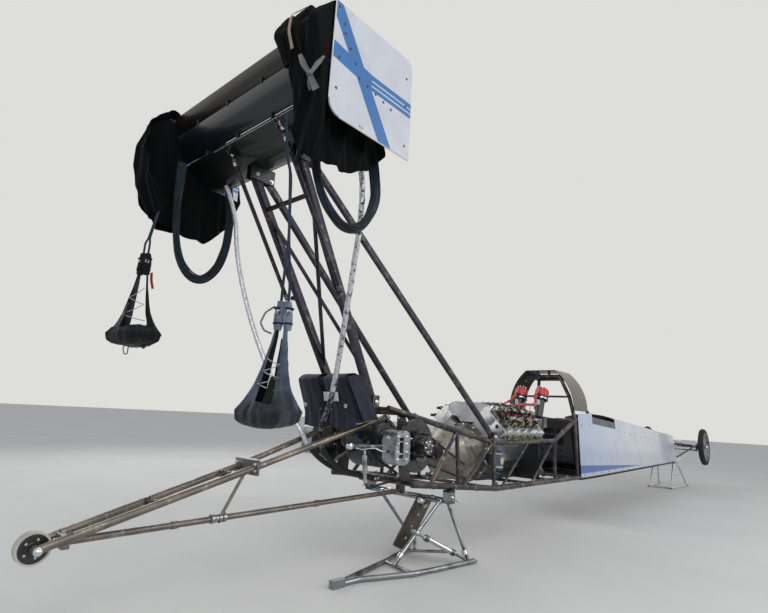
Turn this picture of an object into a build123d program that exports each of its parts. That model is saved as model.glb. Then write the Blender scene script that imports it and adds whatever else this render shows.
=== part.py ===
from build123d import *
import math
import os

# A rear-engined, supercharged V8 class dragster on its two pit stands, opened up for service:
# the rear wheels, supercharger, valve covers, headers and nose panel are off.
# Millimetres. X runs forward from the rear axle, Y to the car's left, Z up from the ground.
# The finished nodes are shifted so that the origin is the middle of the footprint.

# Overall places
WHEELBASE = 7620.0
AXLE_Z = 690.0
HUB_Z = 625.0
CRANK_Z = 610.0
RUN_GAP = 0.3

# Frame tubes
RAIL_R = 19.0
TOP_RAIL_R = 17.0
BAR_R = 13.0
THIN_BAR_R = 9.5
BALL_GROWTH = 1.04
SLEEVE_REACH = 10.0

# Rail routes on the right side, as x, y, z of each bend
BOTTOM_RAIL = [
    (0.0, -330.0, 473.0),
    (960.0, -330.0, 391.0),
    (2450.0, -330.0, 391.0),
    (2900.0, -322.0, 391.0),
    (WHEELBASE - 820.0, -165.0, 405.0),
    (WHEELBASE - 80.0, -120.0, 430.0),
]
TOP_RAIL = [
    (-175.0, -274.0, 891.5),
    (940.0, -330.0, 700.0),
    (1950.0, -330.0, 718.0),
    (2450.0, -315.0, 900.0),
    (2900.0, -295.0, 930.0),
    (WHEELBASE - 870.0, -140.0, 722.0),
    (WHEELBASE - 20.0, -95.0, 690.0),
]

# Body panels
SKIN = 3.0
PANEL_REAR_X = 2480.0
PANEL_FRONT_X = WHEELBASE - 840.0
PANEL_STAND_OFF = 1.06
PANEL_TOP_RISE = 56.0
SEAM = 0.8
COCKPIT_FRONT_X = 3660.0
NOTCH_REAR_X = 2880.0
NOTCH_DEPTH = 105.0
NOTCH_SHEET_DROP = 38.0
PANEL_LAST_X = WHEELBASE - 870.0
TOP_CROWN = 48.0

# Cowl over the roll cage
COWL_REAR_X = 2400.0
COWL_LENGTH = 335.0
COWL_TOP_Z = 1372.0
COWL_TOP_HALF = 150.0
COWL_SIDE_HALF = 330.0
COWL_FOOT_Z = 990.0
COWL_WALL = 4.0

# Engine
ENGINE_REAR_X = 1040.0
BLOCK_LENGTH = 640.0
BANK_ANGLE = 45.0
DECK_HEIGHT = 272.0
HEAD_THICK = 105.0
HEAD_WIDTH = 250.0
CYLINDERS_A_BANK = 4
BORE_PITCH = 122.0
FIRST_BORE = (BLOCK_LENGTH - (CYLINDERS_A_BANK - 1) * BORE_PITCH) / 2
HEAD_OFFSET = 12.0
VALVE_OFFSET = 42.0
DRIVE_DEPTH = 98.6
MAGNETO_X = ENGINE_REAR_X + BLOCK_LENGTH + 440.0
MAGNETO_Y = 105.0
MAGNETO_Z = 912.8
LEAD_R = 11.0
BELL_RADIUS = 205.0
BELL_LENGTH = 400.0

# Rear axle, brakes and hubs
HOUSING_TUBE_R = 46.0
HOUSING_END_Y = 300.0
AXLE_SHAFT_R = 22.0
DISC_R = 150.0
DISC_THICK = 22.0
DISC_Y = 345.0
HUB_FLANGE_R = 85.0
HUB_FLANGE_Y = 385.0
HUB_FLANGE_THICK = 16.0
HUB_DRUM_R = 52.0
HUB_NOSE_R = 42.0
HUB_END_Y = 440.0
STUD_R = 8.0
STUD_PCD = 139.7
STUD_COUNT = 5
STUD_LENGTH = 55.0

# Front axle and wheels
KINGPIN_Y = 330.0
KINGPIN_R = 9.0
BEAM_R = 19.0
SPINDLE_R = 12.5
WHEEL_Y = 420.0
TYRE_R = 288.0
TYRE_WIDTH = 78.0
RIM_R = 216.0
RIM_WIDTH = 62.0
ARM_REACH = 110.0
RUNNING_FIT = 0.05

# Wing
WING_HALF_SPAN = 760.0
ENDPLATE_THICK = 8.0
PLATE_REAR_X = -1200.0
PLATE_FRONT_X = -680.0
PLATE_LOW_Z = 2060.0
PLATE_TOP_Z = 2590.0

# Wing supports
UPRIGHT_FOOT = (-184.0, -152.0, 925.0)
UPRIGHT_TOP = (-906.0, -205.0, 2168.0)
UPRIGHT_CHORD = 70.0
UPRIGHT_THICK = 32.0
STRUT_FOOT = (890.0, -330.0, 750.0)
STRUT_TOP = (-806.0, -205.0, 2150.0)
FRONT_STRUT_CHORD = 54.0
FRONT_STRUT_THICK = 28.0
REAR_BRACE_FOOT = (-570.0, -232.0, 1500.0)
REAR_BRACE_TOP = (-1062.0, -232.0, 2262.0)
REAR_BRACE_R = 12.0
EAR_GAP = 1.7
EAR_THICK = 8.0
CARRIER_Y = 262.0
CARRIER_THICK = 8.0

# Stands
STAND_TUBE_R = 15.0
STAND_FRONT_TUBE_R = 12.0
STAND_TOP_Z = 352.0
STAND_PAD_X = 375.0

# Wheelie bar
WHEELIE_X = -1755.0
WHEELIE_Z = 320.0
WHEELIE_WHEEL_R = 58.0
WHEELIE_WHEEL_WIDTH = 34.0
WHEELIE_ARM_Y = 46.0
WHEELIE_ARM_R = 16.0
WHEELIE_STRUT_FRONT = (300.0, 0.0, 378.0)
WHEELIE_STRUT_R = 14.0


def tube(start, end, radius):
    """A straight round tube from one point to another."""
    run = Vector(*end) - Vector(*start)
    return Solid.make_cylinder(radius, run.length, Plane(origin=Vector(*start), z_dir=run))


def ball(centre, radius):
    """A weld ball where tubes of like size meet."""
    return Pos(*centre) * Sphere(radius)


def block(centre, size):
    """A rectangular block about its centre."""
    return Pos(*centre) * Box(*size)


def drum(centre, axis, radius, length):
    """A cylinder about its centre, along an axis."""
    half = Vector(*axis).normalized() * (length / 2)
    middle = Vector(*centre)
    return Solid.make_cylinder(radius, length, Plane(origin=middle - half, z_dir=half))


def strut(start, end, chord, thickness, chord_dir=(1.0, 0.0, 0.0)):
    """A streamlined strut: an ellipse carried from one point to another."""
    run = Vector(*end) - Vector(*start)
    across = Vector(*chord_dir)
    across = across - run * (across.dot(run) / run.dot(run))
    section = Plane(origin=Vector(*start), x_dir=across, z_dir=run) * Ellipse(chord / 2, thickness / 2)
    return extrude(section, run.length, dir=run.normalized())


def weld(pieces):
    """Fuse pieces that are welded or cast as one."""
    return Part() + list(pieces)


def left_of(point):
    """The same place on the car's left side."""
    return (point[0], -point[1], point[2])


def mirrored(piece):
    """The same piece on the car's other side."""
    return piece.mirror(Plane.XZ)


def rail_at(rail, x):
    """The point of a rail's route at a distance ahead of the axle."""
    for start, end in zip(rail, rail[1:]):
        if start[0] <= x <= end[0]:
            share = (x - start[0]) / (end[0] - start[0])
            return tuple(a + share * (b - a) for a, b in zip(start, end))
    raise ValueError(f"the rail does not reach {x}")


def between(start, end, share):
    """A point part of the way from one place to another."""
    return tuple(a + share * (b - a) for a, b in zip(start, end))


def rail_run(rail, rear, front, radius):
    """A rail between two distances: straight tubes, with a short sleeve at each bend."""
    bends = [point for point in rail if rear < point[0] < front]
    points = [Vector(*point) for point in (rail_at(rail, rear), *bends, rail_at(rail, front))]
    tubes = [tube(start, end, radius) for start, end in zip(points, points[1:])]
    for before, bend, after in zip(points, points[1:], points[2:]):
        back = (before - bend).normalized() * SLEEVE_REACH
        ahead = (after - bend).normalized() * SLEEVE_REACH
        tubes.append(tube(bend + back, bend + ahead, radius * BALL_GROWTH))
    return tubes


def both_sides(pieces):
    """The given right-hand pieces and their left-hand mirrors."""
    return list(pieces) + [mirrored(piece) for piece in pieces]


def route(points, radius):
    """A slack line along a route: straight runs joined by arcs that take up nearly half of the shorter run."""
    path = [Vector(*point) for point in points]
    radii = []
    for before, corner, after in zip(path, path[1:], path[2:]):
        back = before - corner
        ahead = after - corner
        half_turn = math.radians(180.0 - back.get_angle(ahead)) / 2
        radii.append(0.45 * min(back.length, ahead.length) / math.tan(half_turn))
    line = FilletPolyline(*path, radius=radii)
    start = Plane(origin=path[0], z_dir=path[1] - path[0])
    return sweep(start * Circle(radius), path=line)


def bay(rear, front, bars, crossings, side_extras=(), extras=()):
    """One bay of the frame: four rails, the side bars of a table, the cross tubes and what is welded to them."""
    rails = {"bottom": BOTTOM_RAIL, "top": TOP_RAIL}
    side = rail_run(BOTTOM_RAIL, max(rear, BOTTOM_RAIL[0][0]), min(front, BOTTOM_RAIL[-1][0]), RAIL_R)
    side += rail_run(TOP_RAIL, max(rear, TOP_RAIL[0][0]), min(front, TOP_RAIL[-1][0]), TOP_RAIL_R)
    for lower_x, upper_x, radius in bars:
        side.append(tube(rail_at(BOTTOM_RAIL, lower_x), rail_at(TOP_RAIL, upper_x), radius))
    across = []
    for name, x, radius in crossings:
        point = rail_at(rails[name], x)
        across.append(tube(point, left_of(point), radius))
    right = weld(side + list(side_extras))
    return weld([right, mirrored(right)] + across + list(extras))


# Where the frame is split into nodes, along the car
BORDERS = [-175.0, 1010.0, 2300.0, 3700.0, WHEELBASE - 920.0, WHEELBASE - 20.0]


def rear_frame():
    """Frame about the axle and clutch can."""
    # lower x, upper x, radius
    bars = [(480.0, 480.0, BAR_R), (925.0, 925.0, BAR_R), (176.0, 480.0, BAR_R), (535.0, 900.0, BAR_R)]
    # rail, x, radius
    crossings = [("bottom", 20.0, BAR_R), ("bottom", 300.0, BAR_R), ("bottom", 925.0, BAR_R),
                 ("top", -40.0, BAR_R), ("top", -150.0, BAR_R)]
    loose = both_sides([axle_carrier(), *upright_ears(), wheelie_ear(), tether_lug()])
    return bay(BORDERS[0], BORDERS[1], bars, crossings, strut_ears(), loose)


def upright_ears():
    """Two ears on the rearmost cross tube that hold the foot of the right upright."""
    offset = UPRIGHT_THICK / 2 + EAR_GAP + EAR_THICK / 2
    x, y, z = UPRIGHT_FOOT
    return [block((x + 10.0, y + side * offset, z - 2.0), (54.0, EAR_THICK, 80.0)) for side in (1, -1)]


def wheelie_ear():
    """One of two ears under a cross tube that hold the front of the wheelie bar's lower strut."""
    x, _, z = WHEELIE_STRUT_FRONT
    return block((x, -(WHEELIE_STRUT_R + RUN_GAP + EAR_THICK / 2), z + 32.0), (40.0, EAR_THICK, 90.0))


def tether_lug():
    """The right lug on the rear cross tube that a tether is made fast to."""
    rear = -30.9
    return block(((rear + 20.0) / 2, -45.0, 477.0), (20.0 - rear, 34.0, 38.0))


def axle_carrier():
    """The right plate that carries the axle housing between the lower and upper cross tubes."""
    y = -CARRIER_Y
    points = [(-62.0, 700.0), (-70.0, 868.0), (-10.0, 868.0), (75.0, 690.0), (60.0, 471.0), (-20.0, 471.0)]
    face = Face(Wire.make_polygon([Vector(x, y, z) for x, z in points], close=True))
    plate = Solid.extrude(face, Vector(0, CARRIER_THICK, 0))
    return Part() + plate - drum((0, y, AXLE_Z), (0, 1, 0), HOUSING_TUBE_R + RUN_GAP, 60.0)


def strut_ears():
    """Two ears on the upper rail that hold the foot of the long front strut."""
    offset = FRONT_STRUT_THICK / 2 + EAR_GAP + EAR_THICK / 2
    x, y, z = STRUT_FOOT
    return [block((x + 8.0, y + side * offset, z - 10.0), (44.0, EAR_THICK, 74.0)) for side in (1, -1)]


def engine_bay_frame():
    """Frame beside the engine."""
    bars = [(1030.0, 1461.0, THIN_BAR_R), (1950.0, 1950.0, BAR_R), (1500.0, 1930.0, THIN_BAR_R)]
    crossings = [("bottom", 1950.0, BAR_R), ("bottom", 1500.0, BAR_R)]
    return bay(BORDERS[1], BORDERS[2], bars, crossings)


def cage_frame():
    """Frame about the driver, with the roll cage."""
    bars = [(2450.0, 2450.0, BAR_R), (2900.0, 2900.0, BAR_R), (3650.0, 3650.0, BAR_R),
            (2920.0, 2470.0, THIN_BAR_R), (3630.0, 2930.0, THIN_BAR_R)]
    crossings = [("bottom", 2450.0, BAR_R), ("bottom", 2900.0, BAR_R), ("bottom", 3650.0, BAR_R),
                 ("top", 2450.0, BAR_R), ("top", 3650.0, BAR_R)]
    hoop_top = (2470.0, -165.0, 1318.0)
    halo_front = (2700.0, -150.0, 1308.0)
    shoulder = (2462.0, -262.0, 1120.0)
    foot = rail_at(TOP_RAIL, 2450.0)
    front_foot = rail_at(TOP_RAIL, 2930.0)
    side = [
        tube(foot, shoulder, TOP_RAIL_R),
        ball(shoulder, TOP_RAIL_R * BALL_GROWTH),
        tube(shoulder, hoop_top, TOP_RAIL_R),
        ball(hoop_top, TOP_RAIL_R * BALL_GROWTH),
        tube(hoop_top, halo_front, TOP_RAIL_R),
        ball(halo_front, TOP_RAIL_R * BALL_GROWTH),
        tube(halo_front, front_foot, TOP_RAIL_R - 1.0),
    ]
    across = [tube(hoop_top, left_of(hoop_top), TOP_RAIL_R - 1.0),
              tube(halo_front, left_of(halo_front), TOP_RAIL_R - 1.0),
              tube(shoulder, left_of(shoulder), THIN_BAR_R)]
    post_top = COWL_TOP_Z - COWL_WALL - RUN_GAP
    for y in (-60.0, 60.0):
        across.append(block((hoop_top[0], y, (hoop_top[2] + post_top) / 2), (30.0, 16.0, post_top - hoop_top[2])))
    return bay(BORDERS[2], BORDERS[3], bars, crossings, side, across)


def forward_frame():
    """Long frame between the cockpit and the nose."""
    first = BORDERS[3] + 700.0
    pitch = (BORDERS[4] - 100.0 - first) / 3
    stations = [first + index * pitch for index in range(4)]
    bars = [(x, x, BAR_R - 2.0) for x in stations]
    bars += [(x + 20.0, x - pitch + 20.0, THIN_BAR_R) for x in stations[1:]]
    crossings = [("bottom", x, BAR_R - 2.0) for x in stations] + [("top", x, BAR_R - 2.0) for x in stations]
    return bay(BORDERS[3], BORDERS[4], bars, crossings)


def nose_frame():
    """Bare tubes ahead of the panels, out to the front axle."""
    # distances behind the front axle
    bars = [(470.0, 470.0), (170.0, 170.0), (140.0, 790.0)]
    bars = [(WHEELBASE - lower, WHEELBASE - upper, THIN_BAR_R) for lower, upper in bars]
    crossings = [("bottom", 170.0), ("top", 45.0), ("top", 470.0)]
    crossings = [(rail, WHEELBASE - behind, THIN_BAR_R - 1.0) for rail, behind in crossings]
    _, y, top = TOP_RAIL[-1]
    low = HUB_Z + BEAM_R + RUN_GAP
    saddle = block((WHEELBASE - 5.0, y, (low + top) / 2), (50.0, 24.0, top - low))
    return bay(BORDERS[4], BORDERS[5], bars, crossings, [saddle])


def quad_wire(x, corners):
    """A closed outline of straight lines across the car, at one distance."""
    return Wire.make_polygon([Vector(x, y, z) for y, z in corners], close=True)


def panel_edges(x):
    """The lower and upper edge of the right side skin's outer face, as y, z pairs."""
    low = rail_at(BOTTOM_RAIL, x)
    high = rail_at(TOP_RAIL, x)
    low_y = low[1] - RAIL_R - PANEL_STAND_OFF - SKIN
    high_y = high[1] - TOP_RAIL_R - PANEL_STAND_OFF - SKIN
    return (low_y, low[2]), (high_y, high[2] + PANEL_TOP_RISE)


def side_skin(rear, front, drop=0.0, base=None):
    """A side skin between two distances.

    Its top edge lies a drop below the body's top line, its lower edge on the rail, or a base below the top line."""
    wires = []
    stops = [rear] + [p[0] for p in TOP_RAIL if rear < p[0] < front and p[0] != PANEL_LAST_X] + [front]
    for x in stops:
        (low_y, low_z), (high_y, high_z) = panel_edges(min(x, PANEL_LAST_X))
        slope = (high_y - low_y) / (high_z - low_z)
        top_z = high_z - drop
        foot_z = low_z if base is None else high_z - base
        top_y = low_y + slope * (top_z - low_z)
        foot_y = low_y + slope * (foot_z - low_z)
        wires.append(quad_wire(x, [(foot_y, foot_z), (top_y, top_z), (top_y + SKIN, top_z), (foot_y + SKIN, foot_z)]))
    return [Solid.make_loft([a, b], ruled=True) for a, b in zip(wires, wires[1:])]


def side_panel():
    """The right side panel, stepped down beside the cockpit."""
    rear = side_skin(PANEL_REAR_X, NOTCH_REAR_X)
    middle = side_skin(NOTCH_REAR_X, COCKPIT_FRONT_X, NOTCH_DEPTH)
    front = side_skin(COCKPIT_FRONT_X, PANEL_FRONT_X)
    return weld(rear + middle + front)


def cockpit_side():
    """The grey sheet that closes the lower part of the step in the side panel."""
    return weld(side_skin(NOTCH_REAR_X + SEAM, COCKPIT_FRONT_X - SEAM, NOTCH_SHEET_DROP, NOTCH_DEPTH - SEAM))


def arch_wire(x, half, edge_z, crown, wall):
    """A crowned strip across the car: an arc above, the same arc below."""
    outer = ThreePointArc((x, -half, edge_z), (x, 0, edge_z + crown), (x, half, edge_z))
    inner = ThreePointArc((x, half, edge_z - wall), (x, 0, edge_z + crown - wall), (x, -half, edge_z - wall))
    return Wire([outer.edge(), Line((x, half, edge_z), (x, half, edge_z - wall)).edge(), inner.edge(),
                 Line((x, -half, edge_z - wall), (x, -half, edge_z)).edge()])


def top_cover():
    """The crowned cover from the cockpit to the open nose."""
    wires = []
    for x in (COCKPIT_FRONT_X, PANEL_FRONT_X):
        _, (high_y, high_z) = panel_edges(min(x, PANEL_LAST_X))
        half = -high_y
        crown = TOP_CROWN if x == COCKPIT_FRONT_X else TOP_CROWN / 2
        wires.append(arch_wire(x, half, high_z + SEAM + SKIN, crown, SKIN))
    return Solid.make_loft(wires, ruled=True)


def belly_pan():
    """The flat pan under the rails."""
    wires = []
    for x in (PANEL_REAR_X, 2900.0, PANEL_FRONT_X):
        low = rail_at(BOTTOM_RAIL, min(x, PANEL_LAST_X + 40.0))
        half = -low[1] + RAIL_R - 2.0
        top = low[2] - RAIL_R * BALL_GROWTH - RUN_GAP
        wires.append(quad_wire(x, [(-half, top), (half, top), (half, top - SKIN), (-half, top - SKIN)]))
    return weld([Solid.make_loft([a, b], ruled=True) for a, b in zip(wires, wires[1:])])


def cowl_outline(x, inset, foot_drop=0.0):
    """The cowl's arch at one distance, as a closed face reaching down to its feet."""
    top = COWL_TOP_Z - inset
    top_half = COWL_TOP_HALF - inset / 2
    side_half = COWL_SIDE_HALF - inset
    foot = COWL_FOOT_Z - foot_drop
    shoulder = (side_half * 0.86, COWL_TOP_Z - 105.0 - inset)
    right = ThreePointArc((x, -side_half, foot), (x, -shoulder[0], shoulder[1] - 60.0), (x, -top_half, top))
    roof = Line((x, -top_half, top), (x, top_half, top))
    left = ThreePointArc((x, top_half, top), (x, shoulder[0], shoulder[1] - 60.0), (x, side_half, foot))
    base = Line((x, side_half, foot), (x, -side_half, foot))
    return Wire([right.edge(), roof.edge(), left.edge(), base.edge()])


def cowl():
    """The carbon cowl: an arch over the roll cage, open behind, in front and below."""
    length = Vector(COWL_LENGTH, 0, 0)
    outer = Solid.extrude(Face(cowl_outline(COWL_REAR_X, 0.0)), length)
    hollow_face = Face(cowl_outline(COWL_REAR_X - 1.0, COWL_WALL, 1.0))
    hollow = Solid.extrude(hollow_face, length + Vector(2.0, 0, 0))
    return Part() + outer - hollow


def bank_plane(side, x, along, across):
    """A plane on a cylinder bank: its z runs up the bank, its x forward.

    along is the distance up the bank from the crank, across the distance outwards."""
    angle = math.radians(BANK_ANGLE)
    up = Vector(0, side * math.sin(angle), math.cos(angle))
    out = Vector(0, side * math.cos(angle), -math.sin(angle))
    origin = Vector(x, 0, CRANK_Z) + up * along + out * across
    return Plane(origin=origin, x_dir=(1, 0, 0), z_dir=up)


def engine_block():
    """The vee block, plain inside."""
    x = ENGINE_REAR_X
    middle = x + BLOCK_LENGTH / 2
    angle = math.radians(BANK_ANGLE)
    half = 110.0
    deck = DECK_HEIGHT - RUN_GAP
    outline = []
    for side in (1, -1):
        up = Vector(0, side * math.sin(angle), math.cos(angle))
        out = Vector(0, side * math.cos(angle), -math.sin(angle))
        outline.append((up * deck + out * half * side * side, up * deck - out * half * 0.75))
    left_out, left_in = outline[0]
    right_out, right_in = outline[1]
    valley = Vector(0, 0, left_in.Z - 90.0)
    skirt = [Vector(0, 150.0, -60.0), Vector(0, -150.0, -60.0)]
    points = [left_out, left_in, valley, right_in, right_out, skirt[1], skirt[0]]
    wire = Wire.make_polygon([Vector(x, p.Y, p.Z + CRANK_Z) for p in points], close=True)
    return Solid.extrude(Face(wire), Vector(BLOCK_LENGTH, 0, 0))


def oil_pan():
    """The deep pan under the block."""
    x = ENGINE_REAR_X
    top = CRANK_Z - 60.0 - RUN_GAP
    low = 412.0
    upper = block((x + BLOCK_LENGTH / 2, 0, top - 30.0), (BLOCK_LENGTH, 300.0, 60.0))
    sump = block((x + BLOCK_LENGTH / 2, 0, (top - 60.0 + low) / 2), (BLOCK_LENGTH - 40.0, 220.0, top - 60.0 - low))
    return weld([upper, sump])


def cylinder_head(side):
    """A billet head: exhaust ports facing out and down, pockets in its ends, studs along its edges."""
    x = ENGINE_REAR_X + BLOCK_LENGTH / 2
    head = bank_plane(side, x, DECK_HEIGHT + HEAD_THICK / 2, HEAD_OFFSET) * Box(BLOCK_LENGTH, HEAD_WIDTH, HEAD_THICK)
    cuts = []
    for index in range(CYLINDERS_A_BANK):
        port_x = ENGINE_REAR_X + FIRST_BORE + index * BORE_PITCH
        port_plane = bank_plane(side, port_x, DECK_HEIGHT + HEAD_THICK * 0.42, HEAD_OFFSET + HEAD_WIDTH / 2)
        cuts.append(port_plane * Rot(90, 0, 0) * Cylinder(26.0, 60.0))
    for end_x in (ENGINE_REAR_X, ENGINE_REAR_X + BLOCK_LENGTH):
        pocket = bank_plane(side, end_x, DECK_HEIGHT + HEAD_THICK * 0.62, HEAD_OFFSET + 20.0)
        cuts.append(pocket * Rot(0, 90, 0) * Cylinder(11.0, 30.0))
        groove = bank_plane(side, end_x, DECK_HEIGHT + HEAD_THICK / 2, HEAD_OFFSET - 34.0)
        cuts.append(groove * Box(6.0, 2.4, HEAD_THICK + 2.0))
    nuts = []
    for row in (-HEAD_WIDTH / 2 + 16.0, HEAD_WIDTH / 2 - 16.0):
        for index in range(CYLINDERS_A_BANK + 1):
            nut_x = ENGINE_REAR_X + FIRST_BORE + (index - 0.5) * BORE_PITCH
            nut_plane = bank_plane(side, nut_x, DECK_HEIGHT + HEAD_THICK + 7.0, HEAD_OFFSET + row)
            nuts.append(nut_plane * extrude(RegularPolygon(11.0, 6), 9.0, both=True))
    return Part() + [head, *nuts] - cuts


def rocker(side, x, offset, base):
    """One rocker station: stand, rocker arm, adjuster, valve spring with its retainer, and pushrod."""
    outward = 1 if offset > 0 else -1

    def put(dx, up, across, shape):
        return bank_plane(side, x + dx, base + up, HEAD_OFFSET + across) * shape

    valve = offset + outward * 34.0
    return [
        put(-38.0, 30.0, offset, Box(18.0, 34.0, 56.0)),
        put(-38.0, 64.0, offset, Cylinder(7.0, 16.0)),
        put(0.0, 54.0, offset + outward * 6.0, Box(24.0, 68.0, 18.0)),
        put(0.0, 54.0, offset, Rot(0, 90, 0) * Cylinder(17.0, 34.0)),
        put(0.0, 66.0, offset - outward * 22.0, Cylinder(5.5, 22.0)),
        put(0.0, 26.0, valve, Cylinder(16.0, 28.0)),
        put(0.0, 42.0, valve, Cylinder(12.0, 8.0)),
        put(14.0, 34.0, offset - outward * 22.0, Cylinder(4.5, 46.0)),
    ]


def valve_gear(side):
    """Two rows of rocker stations on one head, with their shafts, fused to the plate that carries them."""
    base = DECK_HEIGHT + HEAD_THICK + RUN_GAP
    middle = ENGINE_REAR_X + BLOCK_LENGTH / 2
    pieces = [bank_plane(side, middle, base + 6.0, HEAD_OFFSET) * Box(BLOCK_LENGTH - 60.0, 170.0, 12.0)]
    for offset in (-VALVE_OFFSET, VALVE_OFFSET):
        shaft = bank_plane(side, middle, base + 54.0, HEAD_OFFSET + offset) * Rot(0, 90, 0)
        pieces.append(shaft * Cylinder(11.0, BLOCK_LENGTH - 80.0))
        for index in range(CYLINDERS_A_BANK):
            pieces += rocker(side, ENGINE_REAR_X + FIRST_BORE + index * BORE_PITCH, offset, base)
    return weld(pieces)


def intake_manifold():
    """The low manifold wedged between the heads, its blower flange bare and open."""
    rear = ENGINE_REAR_X + 60.0
    length = 520.0
    middle = rear + length / 2
    points = [(70.0, 838.0), (111.0, 882.0), (185.0, 956.0), (150.0, 974.0)]
    outline = points + [(-y, z) for y, z in reversed(points)]
    body = Solid.extrude(Face(quad_wire(rear, outline)), Vector(length, 0, 0))
    flange = block((middle, 0, 982.0), (length, 250.0, 16.0))
    opening = block((middle, 0, 950.0), (400.0, 130.0, 100.0))
    return Part() + body + flange - opening


def bellhousing():
    """The round titanium can over the clutch."""
    rear = ENGINE_REAR_X - RUN_GAP - BELL_LENGTH
    profile = [(0.0, 0.0), (0.0, 95.0), (60.0, 110.0), (150.0, BELL_RADIUS - 20.0), (BELL_LENGTH - 14.0, BELL_RADIUS - 8.0),
               (BELL_LENGTH - 14.0, BELL_RADIUS + 14.0), (BELL_LENGTH, BELL_RADIUS + 14.0), (BELL_LENGTH, 0.0)]
    outline = Wire.make_polygon([Vector(rear + along, 0, CRANK_Z + radius) for along, radius in profile], close=True)
    return Solid.revolve(Face(outline), 360.0, Axis((rear, 0, CRANK_Z), (1, 0, 0)))


def motor_plate():
    """The plate that hangs the engine's front from the rails."""
    x = ENGINE_REAR_X + BLOCK_LENGTH + RUN_GAP
    plate = block((x + 4.0, 0, 560.0), (8.0, 2 * (330.0 - TOP_RAIL_R) - 4.0, 300.0))
    return Part() + plate - drum((x, 0, CRANK_Z), (1, 0, 0), 70.0, 60.0)


def front_drive():
    """Front cover, crank snout and drive pulley behind the driver."""
    x = ENGINE_REAR_X + BLOCK_LENGTH + RUN_GAP + 8.0 + RUN_GAP
    cover = drum((x + 45.0, 0, CRANK_Z + 40.0), (1, 0, 0), 120.0, 90.0)
    pulley = drum((x + 130.0, 0, CRANK_Z), (1, 0, 0), 85.0, 80.0)
    return weld([cover, pulley])


def magnetos():
    """Two magnetos, each a drive neck, a ribbed body and a cap with its lead outlet."""
    pieces = []
    for y in (-MAGNETO_Y, MAGNETO_Y):
        base = Vector(MAGNETO_X, y, MAGNETO_Z)
        lean = Vector(60.0, 0, 160.0)
        tilt = Vector(35.0, 0, 92.0)
        rise = tilt.normalized()
        neck = tube(base, base + lean, 38.0)
        body = tube(base + lean, base + lean + rise * 40.0, 62.0)
        cap = tube(base + lean + rise * 38.0, base + lean + tilt, 56.0)
        outlet = tube(base + lean + rise * 62.0, base + lean + rise * 62.0 + Vector(-86.0, 0, -20.0), 20.0)
        pieces.append(weld([neck, body, cap, outlet]))
    return pieces


def magneto_leads():
    """The two looms of ignition leads, from each magneto's outlet back along the inner edge of the head."""
    looms = []
    for side in (-1, 1):
        start = Vector(MAGNETO_X - 4.3, side * MAGNETO_Y, MAGNETO_Z + 197.9)
        run = [start, start + Vector(-45.0, 0, -10.5), start + Vector(-92.0, side * 22.0, -60.0),
               start + Vector(-172.0, side * 45.0, -95.0), start + Vector(-352.0, side * 52.0, -101.0),
               start + Vector(-502.0, side * 40.0, -115.0)]
        looms.append(route([tuple(point) for point in run], LEAD_R))
    return looms


def magneto_bracket():
    """The cast drive that carries the magnetos."""
    front = ENGINE_REAR_X + BLOCK_LENGTH + DRIVE_DEPTH
    back = front + RUN_GAP
    shelf = block((MAGNETO_X - 10.0, 0, MAGNETO_Z - 52.8), (120.0, 330.0, 78.0))
    arm_end = MAGNETO_X - 55.0
    arm = block(((back + arm_end) / 2, 0, 770.0), (arm_end - back, 120.0, 110.0))
    riser = block((MAGNETO_X - 58.0, 0, 800.0), (80.0, 110.0, 80.0))
    return weld([shelf, arm, riser])


def axle_housing():
    """Centre section and tubes of the live axle."""
    centre = drum((0, 0, AXLE_Z), (0, 1, 0), 148.0, 180.0)
    pinion = tube((100.0, 0, AXLE_Z - 40.0), (420.0, 0, CRANK_Z + 10.0), 85.0)
    coupler_end = ENGINE_REAR_X - 2 * RUN_GAP - BELL_LENGTH
    coupler = tube((400.0, 0, CRANK_Z), (coupler_end, 0, CRANK_Z), 45.0)
    tubes = drum((0, 0, AXLE_Z), (0, 1, 0), HOUSING_TUBE_R, 2 * HOUSING_END_Y)
    ends = [drum((0, side * (HOUSING_END_Y - 12.0), AXLE_Z), (0, 1, 0), 78.0, 24.0) for side in (1, -1)]
    bore = drum((0, 0, AXLE_Z), (0, 1, 0), AXLE_SHAFT_R + RUN_GAP, 2 * HOUSING_END_Y + 20.0)
    return Part() + [centre, pinion, coupler, tubes, *ends] - bore


def caliper():
    """Right brake caliper, straddling the disc behind the axle."""
    width = 96.0
    outline = Plane(origin=(-172.0, -DISC_Y - width / 2, AXLE_Z - 8.0), x_dir=(1, 0, 0), z_dir=(0, 1, 0))
    body = extrude(outline * RectangleRounded(124.0, 184.0, 45.0), width, dir=(0, 1, 0))
    slot = drum((0, -DISC_Y, AXLE_Z), (0, 1, 0), DISC_R + 6.0, DISC_THICK + 12.0)
    window = block((-185.0, -DISC_Y - width / 2, AXLE_Z - 8.0), (34.0, 60.0, 110.0))
    bracket = block((-105.0, -HOUSING_END_Y + 10.0, AXLE_Z), (90.0, 22.0, 110.0))
    flange = drum((0, -HOUSING_END_Y + 12.0, AXLE_Z), (0, 1, 0), 78.0 + RUN_GAP, 40.0)
    return Part() + [body, bracket] - [slot, window, flange]


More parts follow.
